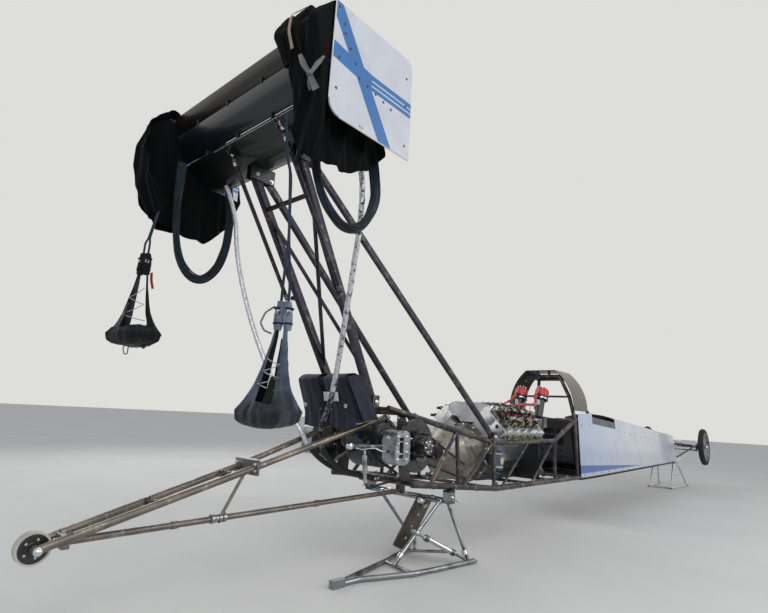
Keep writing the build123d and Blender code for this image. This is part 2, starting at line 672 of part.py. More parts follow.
def rear_hubs():
    """Both hubs, their wheel studs and the shaft that joins them. The left studs stand half a pitch round from the right ones."""
    pieces = [drum((0, 0, AXLE_Z), (0, 1, 0), AXLE_SHAFT_R, 2 * HUB_END_Y - 40.0)]
    face = HUB_FLANGE_Y + HUB_FLANGE_THICK / 2
    for side in (1, -1):
        pieces.append(drum((0, side * (HOUSING_END_Y + 60.0), AXLE_Z), (0, 1, 0), HUB_DRUM_R, 110.0))
        pieces.append(drum((0, side * HUB_FLANGE_Y, AXLE_Z), (0, 1, 0), HUB_FLANGE_R, HUB_FLANGE_THICK))
        nose_middle = (HUB_FLANGE_Y + HUB_END_Y) / 2
        pieces.append(drum((0, side * nose_middle, AXLE_Z), (0, 1, 0), HUB_NOSE_R, HUB_END_Y - HUB_FLANGE_Y))
        for index in range(STUD_COUNT):
            angle = math.radians(-side * 90.0 + index * 360.0 / STUD_COUNT)
            x = STUD_PCD / 2 * math.cos(angle)
            z = AXLE_Z + STUD_PCD / 2 * math.sin(angle)
            pieces.append(tube((x, side * HUB_FLANGE_Y, z), (x, side * (face + STUD_LENGTH), z), STUD_R))
    return weld(pieces)


def brake_disc():
    """Right brake disc, on the hub's drum, drilled through in three rings."""
    disc = drum((0, -DISC_Y, AXLE_Z), (0, 1, 0), DISC_R, DISC_THICK)
    cuts = [drum((0, -DISC_Y, AXLE_Z), (0, 1, 0), HUB_DRUM_R + RUN_GAP, DISC_THICK + 10.0)]
    for ring in range(3):
        for index in range(12):
            angle = math.radians((index + ring / 3.0) * 30.0)
            radius = 92.0 + ring * 20.0
            centre = (radius * math.cos(angle), -DISC_Y, AXLE_Z + radius * math.sin(angle))
            cuts.append(drum(centre, (0, 1, 0), 4.0, DISC_THICK + 10.0))
    return Part() + disc - cuts


# Wing elements: name, leading edge x z, trailing edge x z, thickness and camber as shares of the chord
WING_SECTIONS = [
    ("wing_main_plane", (-790.0, 2250.0), (-1075.0, 2308.0), 0.14, -0.14),
    ("wing_middle_flap", (-1058.0, 2338.0), (-1152.0, 2478.0), 0.12, -0.10),
    ("wing_top_flap", (-1142.0, 2494.0), (-1190.0, 2578.0), 0.12, -0.08),
]


def foil(lead, trail, thickness, camber, half_span):
    """A wing element: a nose arc, a cambered top and bottom arc and a thin trailing edge, carried across the span."""
    start = Vector(lead[0], 0, lead[1])
    chord = Vector(trail[0] - lead[0], 0, trail[1] - lead[1])
    length = chord.length
    along = chord.normalized()
    normal = Vector(-along.Z, 0, along.X)
    if normal.Z < 0:
        normal = normal * -1
    middle = start + chord * 0.45 + normal * (camber * length)
    top_mid = middle + normal * (thickness * length / 2)
    low_mid = middle - normal * (thickness * length / 2)
    nose_r = thickness * length * 0.32
    nose_top = start + normal * nose_r + along * nose_r
    nose_low = start - normal * nose_r + along * nose_r
    edge = 1.5
    tail_top = start + chord + normal * edge
    tail_low = start + chord - normal * edge
    edges = [
        ThreePointArc(nose_low, start, nose_top).edge(),
        ThreePointArc(nose_top, top_mid, tail_top).edge(),
        Line(tail_top, tail_low).edge(),
        ThreePointArc(tail_low, low_mid, nose_low).edge(),
    ]
    face = Face(Wire(edges))
    solid = Solid.extrude(face, Vector(0, 2 * half_span, 0))
    return solid.moved(Location((0, -half_span, 0)))


def wing_ears():
    """Plates under the right half of the main plane that hold the tops of its supports."""
    offset = UPRIGHT_THICK / 2 + EAR_GAP + EAR_THICK / 2
    y = UPRIGHT_TOP[1]
    ears = [block((-865.0, y + side * offset, 2184.0), (160.0, EAR_THICK, 88.0)) for side in (1, -1)]
    tab_y = REAR_BRACE_TOP[1] + REAR_BRACE_R + RUN_GAP + EAR_THICK / 2
    return ears + [block((-1056.0, tab_y, 2262.0), (44.0, EAR_THICK, 46.0))]


def main_plane():
    """The main plane with the ears of its supports."""
    _, lead, trail, thickness, camber = WING_SECTIONS[0]
    plane = foil(lead, trail, thickness, camber, WING_HALF_SPAN - ENDPLATE_THICK - RUN_GAP)
    return weld([plane] + both_sides(wing_ears()))


def endplate():
    """The right endplate, with a rounded lower rear corner and a chamfer in front."""
    y = -WING_HALF_SPAN
    low, top = PLATE_LOW_Z, PLATE_TOP_Z
    rear, front = PLATE_REAR_X, PLATE_FRONT_X
    corner = 60.0
    chamfer = 30.0
    edges = [
        Line((rear, y, low + corner), (rear, y, top)).edge(),
        Line((rear, y, top), (front - chamfer, y, top)).edge(),
        Line((front - chamfer, y, top), (front, y, top - chamfer)).edge(),
        Line((front, y, top - chamfer), (front, y, low)).edge(),
        Line((front, y, low), (rear + corner, y, low)).edge(),
        ThreePointArc((rear + corner, y, low), (rear + corner * 0.293, y, low + corner * 0.293),
                      (rear, y, low + corner)).edge(),
    ]
    return Solid.extrude(Face(Wire(edges)), Vector(0, ENDPLATE_THICK, 0))


def wing_uprights():
    """Two wide uprights, with the X brace and cross tubes between them."""
    side = [strut(UPRIGHT_FOOT, UPRIGHT_TOP, UPRIGHT_CHORD, UPRIGHT_THICK),
            block((-545.0, -203.0, 1512.0), (26.0, 32.0, 22.0))]

    def on_upright(z, sign):
        share = (z - UPRIGHT_FOOT[2]) / (UPRIGHT_TOP[2] - UPRIGHT_FOOT[2])
        point = [a + share * (b - a) for a, b in zip(UPRIGHT_FOOT, UPRIGHT_TOP)]
        return (point[0], sign * point[1], point[2])

    across = [
        tube(on_upright(1120.0, 1), on_upright(1960.0, -1), 11.0),
        tube(on_upright(1120.0, -1), on_upright(1960.0, 1), 11.5),
        tube(on_upright(1060.0, 1), on_upright(1060.0, -1), 14.0),
        tube(on_upright(1990.0, 1), on_upright(1990.0, -1), 14.0),
    ]
    return weld(both_sides(side) + across)


def wing_struts():
    """Long front struts and short rear braces of the right side."""
    front = strut(STRUT_FOOT, STRUT_TOP, FRONT_STRUT_CHORD, FRONT_STRUT_THICK)
    rear = tube(REAR_BRACE_FOOT, REAR_BRACE_TOP, REAR_BRACE_R)
    return [front, rear]


def wheelie_frame():
    """The wheelie bar: two arms with the wheel's shaft between their ends, a cross plate, a yoke and one lower strut."""
    upper_front = (-30.0, -132.0, 841.0)
    plate_at = (-890.0, -65.0, 571.0)
    rear_point = (WHEELIE_X, -WHEELIE_ARM_Y, WHEELIE_Z)
    side = [tube(rear_point, plate_at, WHEELIE_ARM_R), ball(plate_at, WHEELIE_ARM_R * BALL_GROWTH),
            tube(plate_at, upper_front, WHEELIE_ARM_R),
            drum(rear_point, (0, 1, 0), WHEELIE_ARM_R * BALL_GROWTH, 2 * WHEELIE_ARM_R)]
    shaft = drum((WHEELIE_X, 0, WHEELIE_Z), (0, 1, 0), 9.0, 2 * (WHEELIE_ARM_Y + WHEELIE_ARM_R + 10.0))
    yoke_x = WHEELIE_X + WHEELIE_WHEEL_R + 34.0
    yoke = block((yoke_x, 0, WHEELIE_Z + 14.0), (26.0, 2 * WHEELIE_ARM_Y + 8.0, 46.0))
    lower = tube((yoke_x, 0, WHEELIE_Z + 8.0), WHEELIE_STRUT_FRONT, WHEELIE_STRUT_R)
    plate = block((-890.0, 0, 571.0), (14.0, 190.0, 70.0))
    brace = tube((-890.0, 0, 560.0), (-1010.0, 0, 345.0), 8.0)
    return weld(both_sides(side) + [shaft, yoke, lower, plate, brace])


def wheelie_wheel():
    """The small solid wheel of the wheelie bar."""
    centre = (WHEELIE_X, 0, WHEELIE_Z)
    wheel = drum(centre, (0, 1, 0), WHEELIE_WHEEL_R, WHEELIE_WHEEL_WIDTH)
    return Part() + wheel - drum(centre, (0, 1, 0), 9.0 + RUNNING_FIT, WHEELIE_WHEEL_WIDTH + 10.0)


def front_axle_beam():
    """The tube axle with its kingpin bosses and radius rods."""
    beam = tube((WHEELBASE, -KINGPIN_Y + 10.0, HUB_Z), (WHEELBASE, KINGPIN_Y - 10.0, HUB_Z), BEAM_R)
    bosses = [drum((WHEELBASE, side * KINGPIN_Y, HUB_Z), (0, 0, 1), 18.0, 60.0) for side in (1, -1)]
    rear = WHEELBASE - 820.0
    front = WHEELBASE - 5.0
    rods = [
        strut((rear, -185.0, 664.0), (front, -272.0, HUB_Z + 6.0), 34.0, 16.0, (0.0, 0.0, 1.0)),
        tube((rear, -200.0, 470.0), (front, -272.0, HUB_Z - 8.0), 11.0),
    ]
    pins = [drum((WHEELBASE, side * KINGPIN_Y, HUB_Z), (0, 0, 1), KINGPIN_R + RUNNING_FIT, 80.0) for side in (1, -1)]
    return Part() + [beam, *bosses, *both_sides(rods)] - pins


def knuckle(side):
    """A yoke on its kingpin, with the wheel spindle and the steering arm."""
    y = side * KINGPIN_Y
    x = WHEELBASE
    wall_y = side * (KINGPIN_Y + 30.0)
    pin = drum((x, y, HUB_Z), (0, 0, 1), KINGPIN_R, 96.0)
    plates = [block((x, y + side * 8.0, HUB_Z + up * 37.0), (44.0, 60.0, 12.0)) for up in (1, -1)]
    wall = block((x, wall_y, HUB_Z), (44.0, 12.0, 86.0))
    spindle = tube((x, wall_y, HUB_Z), (x, side * (WHEEL_Y + 50.0), HUB_Z), SPINDLE_R)
    arm = block((x - ARM_REACH / 2, y, HUB_Z - 37.0), (ARM_REACH, 26.0, 12.0))
    eye = drum((x - ARM_REACH, y, HUB_Z - 37.0), (0, 0, 1), 16.0, 12.0)
    hole = drum((x - ARM_REACH, y, HUB_Z - 37.0), (0, 0, 1), 6.0 + RUN_GAP, 40.0)
    return Part() + [pin, *plates, wall, spindle, arm, eye] - hole


def tie_rod():
    """The tie rod behind the axle, its studs standing in the two steering arms."""
    x = WHEELBASE - ARM_REACH
    z = HUB_Z - 58.0
    rod = tube((x, -KINGPIN_Y, z), (x, KINGPIN_Y, z), 9.0)
    ends = [drum((x, side * KINGPIN_Y, z), (0, 0, 1), 15.0, 26.0) for side in (1, -1)]
    studs = [drum((x, side * KINGPIN_Y, z + 22.0), (0, 0, 1), 6.0, 44.0) for side in (1, -1)]
    return weld([rod, *ends, *studs])


def front_rim(side):
    """A spun rim with a hub, joined by a spoked disc."""
    centre = (WHEELBASE, side * WHEEL_Y, HUB_Z)
    rim = Part() + drum(centre, (0, 1, 0), RIM_R, RIM_WIDTH) - drum(centre, (0, 1, 0), RIM_R - 9.0, RIM_WIDTH + 10.0)
    hub = drum(centre, (0, 1, 0), 34.0, 66.0)
    spokes = []
    for index in range(12):
        angle = math.radians(index * 30.0)
        reach = Vector(math.cos(angle), 0, math.sin(angle))
        spokes.append(tube(Vector(*centre) + reach * 20.0, Vector(*centre) + reach * (RIM_R - 4.0), 5.0))
    return Part() + [rim, hub, *spokes] - drum(centre, (0, 1, 0), SPINDLE_R + RUNNING_FIT, 100.0)


def front_tyre(side):
    """A narrow front tyre: a rounded section turned about the spindle."""
    y = side * WHEEL_Y
    half = TYRE_WIDTH / 2
    bead = RIM_R + RUN_GAP
    edges = [
        Line((WHEELBASE, y - 30.0, HUB_Z + bead), (WHEELBASE, y + 30.0, HUB_Z + bead)).edge(),
        ThreePointArc((WHEELBASE, y + 30.0, HUB_Z + bead), (WHEELBASE, y + half, HUB_Z + bead + 36.0),
                      (WHEELBASE, y + 26.0, HUB_Z + TYRE_R - 6.0)).edge(),
        ThreePointArc((WHEELBASE, y + 26.0, HUB_Z + TYRE_R - 6.0), (WHEELBASE, y, HUB_Z + TYRE_R),
                      (WHEELBASE, y - 26.0, HUB_Z + TYRE_R - 6.0)).edge(),
        ThreePointArc((WHEELBASE, y - 26.0, HUB_Z + TYRE_R - 6.0), (WHEELBASE, y - half, HUB_Z + bead + 36.0),
                      (WHEELBASE, y - 30.0, HUB_Z + bead)).edge(),
    ]
    return Solid.revolve(Face(Wire(edges)), 360.0, Axis((WHEELBASE, y, HUB_Z), (0, 1, 0)))


def seat():
    """The driver's bucket seat: a bent shell with sides."""
    points = [(2560.0, 900.0), (2680.0, 500.0), (2760.0, 440.0), (3100.0, 470.0)]
    wall = 5.0
    half = 215.0
    top = [Vector(x, -half, z) for x, z in points]
    low = [Vector(x - wall, -half, z - wall * 1.4) for x, z in reversed(points)]
    shell = Solid.extrude(Face(Wire.make_polygon(top + low, close=True)), Vector(0, 2 * half, 0))
    side_points = [(2560.0, 900.0), (2680.0, 500.0), (2760.0, 440.0), (3100.0, 470.0), (3100.0, 560.0),
                   (2860.0, 580.0), (2690.0, 900.0)]
    flank = Solid.extrude(Face(Wire.make_polygon([Vector(x, -half, z) for x, z in side_points], close=True)),
                          Vector(0, wall, 0))
    reach = 300.0
    tab = block((2900.0, -(half - 1.0 + reach) / 2, 560.0), (20.0, reach - half + 1.0, 20.0))
    return weld([shell, flank, mirrored(flank), tab, mirrored(tab)])


def steering_wheel():
    """A butterfly wheel on its column."""
    hub = Vector(3120.0, 0, 800.0)
    column = tube(hub, (3640.0, 0, 700.0), 12.0)
    grip = weld([drum(hub, (1, 0, -0.2), 34.0, 26.0), tube(hub, hub + Vector(-10, -130, 20), 12.0),
                 tube(hub, hub + Vector(-10, 130, 20), 12.0),
                 tube(hub + Vector(-10, -130, -50), hub + Vector(-10, -130, 60), 14.0),
                 tube(hub + Vector(-10, 130, -50), hub + Vector(-10, 130, 60), 14.0)])
    return weld([column, grip, block((3645.0, 0, 700.0), (20.0, 520.0, 60.0))])


def bent_tube(points, radius):
    """A tube along a route of straight runs, with a sleeve at each bend."""
    corners = [Vector(*point) for point in points]
    pieces = [tube(start, end, radius) for start, end in zip(corners, corners[1:])]
    for before, bend, after in zip(corners, corners[1:], corners[2:]):
        back = (before - bend).normalized() * radius * 0.8
        ahead = (after - bend).normalized() * radius * 0.8
        pieces.append(tube(bend + back, bend + ahead, radius * BALL_GROWTH))
    return pieces


def rear_stand():
    """The folding three-footed stand under the rear: bent base tubes, legs, a wide flat leg, links and rail pads."""
    foot = STAND_TUBE_R
    top = STAND_TOP_Z
    heel = (-480.0, -240.0, foot)
    pieces = bent_tube([heel, (-320.0, -250.0, foot), (-10.0, -370.0, foot), (180.0, -400.0, foot),
                        (500.0, -440.0, foot)], STAND_TUBE_R)
    pieces += bent_tube([heel, (50.0, -110.0, foot), (400.0, 0.0, foot), (850.0, 380.0, foot)], STAND_TUBE_R)
    pieces.append(block((-455.0, -240.0, 19.0), (80.0, 38.0, 38.0)))
    pieces.append(tube((-10.0, -370.0, foot), (50.0, -110.0, foot), 10.0))
    rear_x = STAND_PAD_X - 40.0
    front_x = STAND_PAD_X + 40.0
    knee = (167.0, -240.0, 183.0)
    pieces += [
        tube((15.0, -210.0, 20.0), (rear_x, -290.0, top), 12.0),
        tube((455.0, -428.0, 20.0), (front_x, -290.0, top), 12.0),
        tube((850.0, 380.0, foot), (front_x, 290.0, top), 12.0),
        strut((243.0, -61.0, 46.0), (375.0, -150.0, top), 170.0, 7.0),
        tube(knee, (440.0, -410.0, 30.0), 9.0),
        tube(knee, (400.0, -60.0, 26.0), 9.0),
        tube((300.0, -30.0, 22.0), (420.0, -360.0, 62.0), 9.0),
        drum(knee, (0.3, 1.0, 0), 19.0, 44.0),
        tube((rear_x, -290.0, top), (rear_x, 290.0, top), 12.0),
        tube((front_x, -290.0, top), (front_x, 290.0, top), 12.0),
    ]
    rail = rail_at(BOTTOM_RAIL, STAND_PAD_X)
    pad_top = rail[2] - RAIL_R - 3.3
    for sign in (1, -1):
        pieces.append(tube((rear_x, sign * 290.0, top), (front_x, sign * 290.0, top), 12.0))
        pieces.append(block((STAND_PAD_X, sign * 312.0, top), (60.0, 44.0, 20.0)))
        pieces.append(block((STAND_PAD_X, sign * 330.0, (340.0 + pad_top) / 2), (60.0, 50.0, pad_top - 340.0)))
    return weld(pieces)


def front_stand():
    """The low folding stand under the nose: a base frame, splayed legs with a cross brace, and the rail pads."""
    foot = STAND_FRONT_TUBE_R
    middle = WHEELBASE - 720.0
    top = rail_at(BOTTOM_RAIL, middle)[2] - RAIL_R - SKIN - 2 * RUN_GAP - 13.7
    base = [(middle - 400.0, -150.0), (middle + 380.0, -205.0), (middle + 380.0, 205.0), (middle - 400.0, 150.0)]
    floor = [(x, y, foot) for x, y in base]
    crown = [(middle - 110.0, -140.0, top), (middle + 110.0, -140.0, top), (middle + 110.0, 140.0, top),
             (middle - 110.0, 140.0, top)]
    pieces = [tube(a, b, foot) for a, b in zip(floor, floor[1:] + floor[:1])]
    pieces += [drum(point, (0, 0, 1), foot * 1.4, 2 * foot) for point in floor]
    pieces += [tube(a, b, 11.0) for a, b in zip(floor, crown)]
    pieces += [tube(a, b, 13.0) for a, b in zip(crown, crown[1:] + crown[:1])]
    pieces += [ball(point, 13.0 * BALL_GROWTH) for point in crown]
    for sign in (1, -1):
        low = (middle - 255.0, sign * 145.0, foot + (top - foot) * 0.5)
        pieces.append(tube(low, (middle + 245.0, sign * 172.0, foot + (top - foot) * 0.5), 8.0))
    return weld(pieces)


def chute_packs():
    """Two parachute packs leaning along the uprights, behind them."""
    packs = []
    for side in (-1, 1):
        points = [(-170.9, 830.0), (-312.9, 1075.0), (-457.9, 1040.0), (-315.9, 795.0)]
        face = Face(Wire.make_polygon([Vector(x, side * 112.0 - 88.0, z) for x, z in points], close=True))
        packs.append(Solid.extrude(face, Vector(0, 176.0, 0)))
    return packs


def chute_bag(x, y, low, height, width, depth, lean, hem):
    """A slack sling bag: a full pouch, four flaps that draw together into a neck, and the strap up to the cloth's hem."""
    levels = [(0.0, 0.55, 0.7), (0.10, 1.0, 1.0), (0.26, 0.94, 0.9), (0.40, 0.74, 0.5)]
    sections = []
    for rise, wide, deep in levels:
        sections.append(Pos(x, y, low + height * rise) * RectangleRounded(depth * deep, width * wide, 24.0))
    pouch = loft(sections, ruled=True)
    neck_z = low + height * 0.9
    neck_x = x + lean
    neck = Pos(neck_x, y, low + height) * Box(58.0, 66.0, height * 0.24)
    flaps = []
    for across in (-1, 1):
        for along in (-1, 1):
            start = (x + along * depth * 0.2, y + across * width * 0.29, low + height * 0.34)
            end = (neck_x + along * 18.0, y + across * 20.0, neck_z)
            flaps.append(strut(start, end, 12.0, 58.0))
    (before_x, before_z), (hem_x, hem_z) = hem
    strap_low = low + height * 1.1
    rise = Vector(hem_x - neck_x, 0, hem_z - strap_low)
    hem_run = Vector(hem_x - before_x, 0, hem_z - before_z).normalized() * (DRAPE_THICK / 2)
    end_drop = abs(hem_run.Z * rise.X) / rise.Z + abs(hem_run.X)
    strap = tube((neck_x, y, strap_low), (hem_x, y, hem_z - end_drop - RUN_GAP), STRAP_R)
    return weld([pouch, neck, *flaps, strap])


# Slack lines and tethers, from the wing end downwards, as x, y, z of each point
LINE_BUNDLE_R = 30.0
TETHER_R = 15.0
LINE_BUNDLE_RIGHT = [
    (-1067.0, -525.0, 2010.0), (-1058.0, -542.0, 1905.0), (-1035.0, -562.0, 1800.0), (-985.0, -582.0, 1715.0),
    (-910.0, -595.0, 1672.0), (-830.0, -600.0, 1695.0), (-765.0, -598.0, 1770.0), (-722.0, -592.0, 1865.0),
    (-716.0, -588.0, 1965.0), (-750.0, -592.0, 2085.0), (-826.0, -604.0, 2225.0),
]
LINE_BUNDLE_LEFT = [
    (-1172.0, 570.0, 2245.0), (-1166.0, 580.0, 2140.0), (-1160.0, 588.0, 2050.0), (-1150.0, 595.0, 1950.0),
    (-1138.0, 605.0, 1840.0), (-1108.0, 620.0, 1735.0), (-1050.0, 635.0, 1645.0), (-970.0, 645.0, 1592.0),
    (-885.0, 650.0, 1612.0), (-825.0, 645.0, 1695.0), (-798.0, 635.0, 1795.0), (-788.0, 622.0, 1900.0),
    (-792.0, 612.0, 2060.0), (-832.0, 612.0, 2225.7),
]
TETHER_RIGHT = [
    (-882.0, -566.0, 2209.4), (-782.0, -556.0, 2045.0), (-748.0, -535.0, 1800.0), (-715.0, -470.0, 1560.0),
    (-665.0, -385.0, 1320.0), (-600.0, -285.0, 1100.0), (-535.0, -180.0, 900.0), (-490.0, -60.0, 760.0),
    (-440.0, -35.0, 640.0), (-330.0, -30.0, 560.0), (-180.0, -35.0, 505.0), (-34.0, -45.0, 480.0),
]
TETHER_LEFT = [
    (-886.0, 552.0, 2209.4), (-796.0, 546.0, 2045.0), (-775.0, 525.0, 1800.0), (-745.0, 455.0, 1560.0),
    (-700.0, 370.0, 1320.0), (-645.0, 275.0, 1100.0), (-585.0, 180.0, 900.0), (-545.0, 62.0, 770.0),
    (-470.0, 38.0, 650.0), (-350.0, 32.0, 565.0), (-190.0, 38.0, 508.0), (-34.0, 45.0, 480.0),
]

# Routes of the cloth over the wing ends, seen from the side: front hem, over the top flap, rear hem
DRAPE_FRONT = [(-765.0, 2212.0), (-765.0, 2268.0), (-792.0, 2312.0), (-1135.0, 2512.9), (-1199.2, 2598.5)]
DRAPE_REAR = {
    -1: [(-1295.0, 2470.0), (-1255.0, 2300.0), (-1225.0, 2100.0), (-1195.0, 1865.0)],
    1: [(-1330.0, 2475.0), (-1375.0, 2300.0), (-1350.0, 2080.0), (-1240.0, 1905.0)],
}
DRAPE_THICK = 12.0
DRAPE_INNER_Y = {-1: 470.0, 1: 407.0}
DRAPE_OUTER_Y = 744.0
STRAP_R = 9.0
# The hanging side of the cloth inside each endplate: its hem, as x, z, and how far out it hangs
CURTAIN_HEM = {
    -1: [(-860.0, 1950.0), (-765.0, 2075.0)],
    1: [(-1100.0, 1868.0), (-900.0, 1850.0), (-800.0, 1950.0), (-765.0, 2053.0)],
}
CURTAIN_Y = {-1: 652.0, 1: 690.0}
# Edge of that cloth below and behind the wing elements
CURTAIN_UNDER = [(-762.0, 2205.0), (-935.0, 2206.0), (-1022.0, 2236.0), (-1092.0, 2302.0), (-1142.0, 2388.0),
                 (-1172.0, 2480.0), (-1190.0, 2522.0)]
# Outline of the cloth outside the left endplate, as x, z
FLAP_OUTLINE = [(-1345.0, 2180.0), (-1300.0, 1990.0), (-1175.0, 1872.0), (-1010.0, 1896.0), (-865.0, 1876.0),
                (-690.0, 2040.0), (-640.0, 2230.0), (-690.0, 2480.0), (-730.0, 2603.0), (-1190.0, 2603.0),
                (-1330.0, 2475.0)]
CREST_OUTLINE = [*DRAPE_FRONT[1:], (-1190.0, 2603.0), (-740.0, 2603.0)]


def hung(outline, y):
    """A flat hanging part of the cloth, from its outline seen from the side."""
    face = Face(Wire.make_polygon([Vector(x, y, z) for x, z in outline], close=True))
    return Solid.extrude(face, Vector(0, DRAPE_THICK, 0))


def drape(side):
    """Black cloth hung over one wing end, as bent sheets. The left one goes on over its endplate and hangs outside it."""
    path = [Vector(x, 0, z) for x, z in DRAPE_FRONT + DRAPE_REAR[side]]
    outer = []
    inner = []
    for index, point in enumerate(path):
        before = path[max(index - 1, 0)]
        after = path[min(index + 1, len(path) - 1)]
        along = (after - before).normalized()
        normal = Vector(along.Z, 0, -along.X) * (DRAPE_THICK / 2)
        outer.append(point + normal)
        inner.append(point - normal)
    wire = Wire.make_polygon(outer + inner[::-1], close=True)
    width = DRAPE_OUTER_Y - DRAPE_INNER_Y[side]
    start = DRAPE_INNER_Y[1] if side == 1 else -DRAPE_OUTER_Y
    sheet = Solid.extrude(Face(wire), Vector(0, width, 0)).moved(Location((0, start, 0)))
    rear = DRAPE_REAR[side]
    last = between(DRAPE_FRONT[-1], rear[0], 0.35)
    curtain_y = CURTAIN_Y[1] if side == 1 else -CURTAIN_Y[-1] - DRAPE_THICK
    curtain = hung([rear[-1], *CURTAIN_HEM[side], *CURTAIN_UNDER, last, *rear[:-1]], curtain_y)
    if side == -1:
        return weld([sheet, curtain])
    flap_y = WING_HALF_SPAN + 2.0
    pieces = [sheet, curtain, hung(FLAP_OUTLINE, flap_y), hung(CREST_OUTLINE, DRAPE_OUTER_Y - DRAPE_THICK)]
    bridge_low = PLATE_TOP_Z + RUN_GAP
    middle_y = (DRAPE_OUTER_Y - DRAPE_THICK + flap_y + DRAPE_THICK) / 2
    bridge_y = flap_y + 2 * DRAPE_THICK - DRAPE_OUTER_Y
    pieces.append(block((-965.0, middle_y, (bridge_low + 2603.0) / 2), (440.0, bridge_y, 2603.0 - bridge_low)))
    rear_y = (DRAPE_OUTER_Y + flap_y + DRAPE_THICK) / 2
    pieces.append(block((-1341.0, rear_y - 6.0, 2270.0), (14.0, flap_y + DRAPE_THICK - DRAPE_OUTER_Y + 12.0, 190.0)))
    return weld(pieces)


def build_nodes():
    """Every node of the car, by name, as a list of solids."""
    nodes = {
        "rear_frame": [rear_frame()],
        "engine_bay_frame": [engine_bay_frame()],
        "cage_frame": [cage_frame()],
        "forward_frame": [forward_frame()],
        "nose_frame": [nose_frame()],
        "side_panel_right": [side_panel()],
        "side_panel_left": [mirrored(side_panel())],
        "cockpit_sides": both_sides([cockpit_side()]),
        "top_cover": [top_cover()],
        "belly_pan": [belly_pan()],
        "cowl": [cowl()],
        "engine_block": [engine_block()],
        "oil_pan": [oil_pan()],
        "cylinder_heads": [cylinder_head(-1), cylinder_head(1)],
        "valve_gear": [valve_gear(-1), valve_gear(1)],
        "intake_manifold": [intake_manifold()],
        "bellhousing": [bellhousing()],
        "motor_plate": [motor_plate()],
        "front_drive": [front_drive()],
        "axle_housing": [axle_housing()],
        "brake_calipers": both_sides([caliper()]),
        "rear_hubs": [rear_hubs()],
        "brake_discs": both_sides([brake_disc()]),
        "wing_endplates": both_sides([endplate()]),
        "wing_uprights": [wing_uprights()],
        "wing_struts": both_sides(wing_struts()),
        "wheelie_frame": [wheelie_frame()],
        "wheelie_wheel": [wheelie_wheel()],
        "front_axle_beam": [front_axle_beam()],
        "knuckle_right": [knuckle(-1)],
        "knuckle_left": [knuckle(1)],
        "tie_rod": [tie_rod()],
        "front_rim_right": [front_rim(-1)],
        "front_rim_left": [front_rim(1)],
        "front_tyre_right": [front_tyre(-1)],
        "front_tyre_left": [front_tyre(1)],
        "seat": [seat()],
        "steering_wheel": [steering_wheel()],
        "rear_stand": [rear_stand()],
        "front_stand": [front_stand()],
        "magneto_drive": [magneto_bracket()],
        "magnetos": magnetos(),
        "wing_main_plane": [main_plane()],
        "chute_packs": chute_packs(),
        "magneto_leads": magneto_leads(),
        "chute_bag_right": [chute_bag(-1200.0, -545.0, 780.0, 450.0, 260.0, 200.0, 35.0, DRAPE_REAR[-1][-2:])],
        "chute_bag_left": [chute_bag(-1295.0, 575.0, 1140.0, 455.0, 365.0, 200.0, 0.0, DRAPE_REAR[1][-2:])],
        "line_bundle_right": [route(LINE_BUNDLE_RIGHT, LINE_BUNDLE_R)],
        "line_bundle_left": [route(LINE_BUNDLE_LEFT, LINE_BUNDLE_R)],
        "tether_right": [route(TETHER_RIGHT, TETHER_R)],
        "tether_left": [route(TETHER_LEFT, TETHER_R)],
        "wing_drape_right": [drape(-1)],
        "wing_drape_left": [drape(1)],
    }
    for name, lead, trail, thickness, camber in WING_SECTIONS[1:]:
        nodes[name] = [foil(lead, trail, thickness, camber, WING_HALF_SPAN - ENDPLATE_THICK - RUN_GAP)]
    return nodes


def footprint_shift(nodes):
    """The move that brings the origin to the middle of the footprint, on the ground."""
    everything = Compound([solid for solids in nodes.values() for solid in solids])
    box = everything.bounding_box()
    return Vector(-(box.min.X + box.max.X) / 2, -(box.min.Y + box.max.Y) / 2, -box.min.Z)


def main():
    os.makedirs("parts", exist_ok=True)
    nodes = build_nodes()
    shift = footprint_shift(nodes)
    print("origin shift", shift)
    for name, solids in nodes.items():
        placed = [solid.moved(Location(shift)) for solid in solids]
        shape = placed[0] if len(placed) == 1 else Compound(placed)
        export_step(shape, f"parts/{name}.step")


if __name__ == "__main__":
    main()
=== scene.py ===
"""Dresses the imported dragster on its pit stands: slack lines, cloth, bags, fittings and procedural finishes.

All places are worked out in millimetres from the middle of the rear axle on the ground (X forward, Y left, Z up),
as the frame's own drawing has them, and moved into the shared frame in metres when a mesh is made."""

import math

import bpy
import numpy as np
from bpy.props import FloatProperty, FloatVectorProperty, IntProperty, PointerProperty
from mathutils import Matrix, Vector


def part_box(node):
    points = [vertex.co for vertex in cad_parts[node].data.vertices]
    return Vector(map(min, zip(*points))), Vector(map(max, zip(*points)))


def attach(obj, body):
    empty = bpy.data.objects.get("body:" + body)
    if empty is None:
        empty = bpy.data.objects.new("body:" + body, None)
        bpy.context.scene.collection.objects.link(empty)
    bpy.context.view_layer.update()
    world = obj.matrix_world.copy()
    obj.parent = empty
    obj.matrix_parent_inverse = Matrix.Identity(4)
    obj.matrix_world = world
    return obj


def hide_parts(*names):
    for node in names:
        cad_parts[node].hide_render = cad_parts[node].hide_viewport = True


bl_info = {
    "name": "Dragster dressing",
    "version": (1, 0, 0),
    "blender": (4, 5, 0),
    "location": "View3D > Sidebar > Dragster",
    "description": "Builds the cloth, lines, fittings and finishes of a dragster standing in its pit",
    "category": "Object",
}

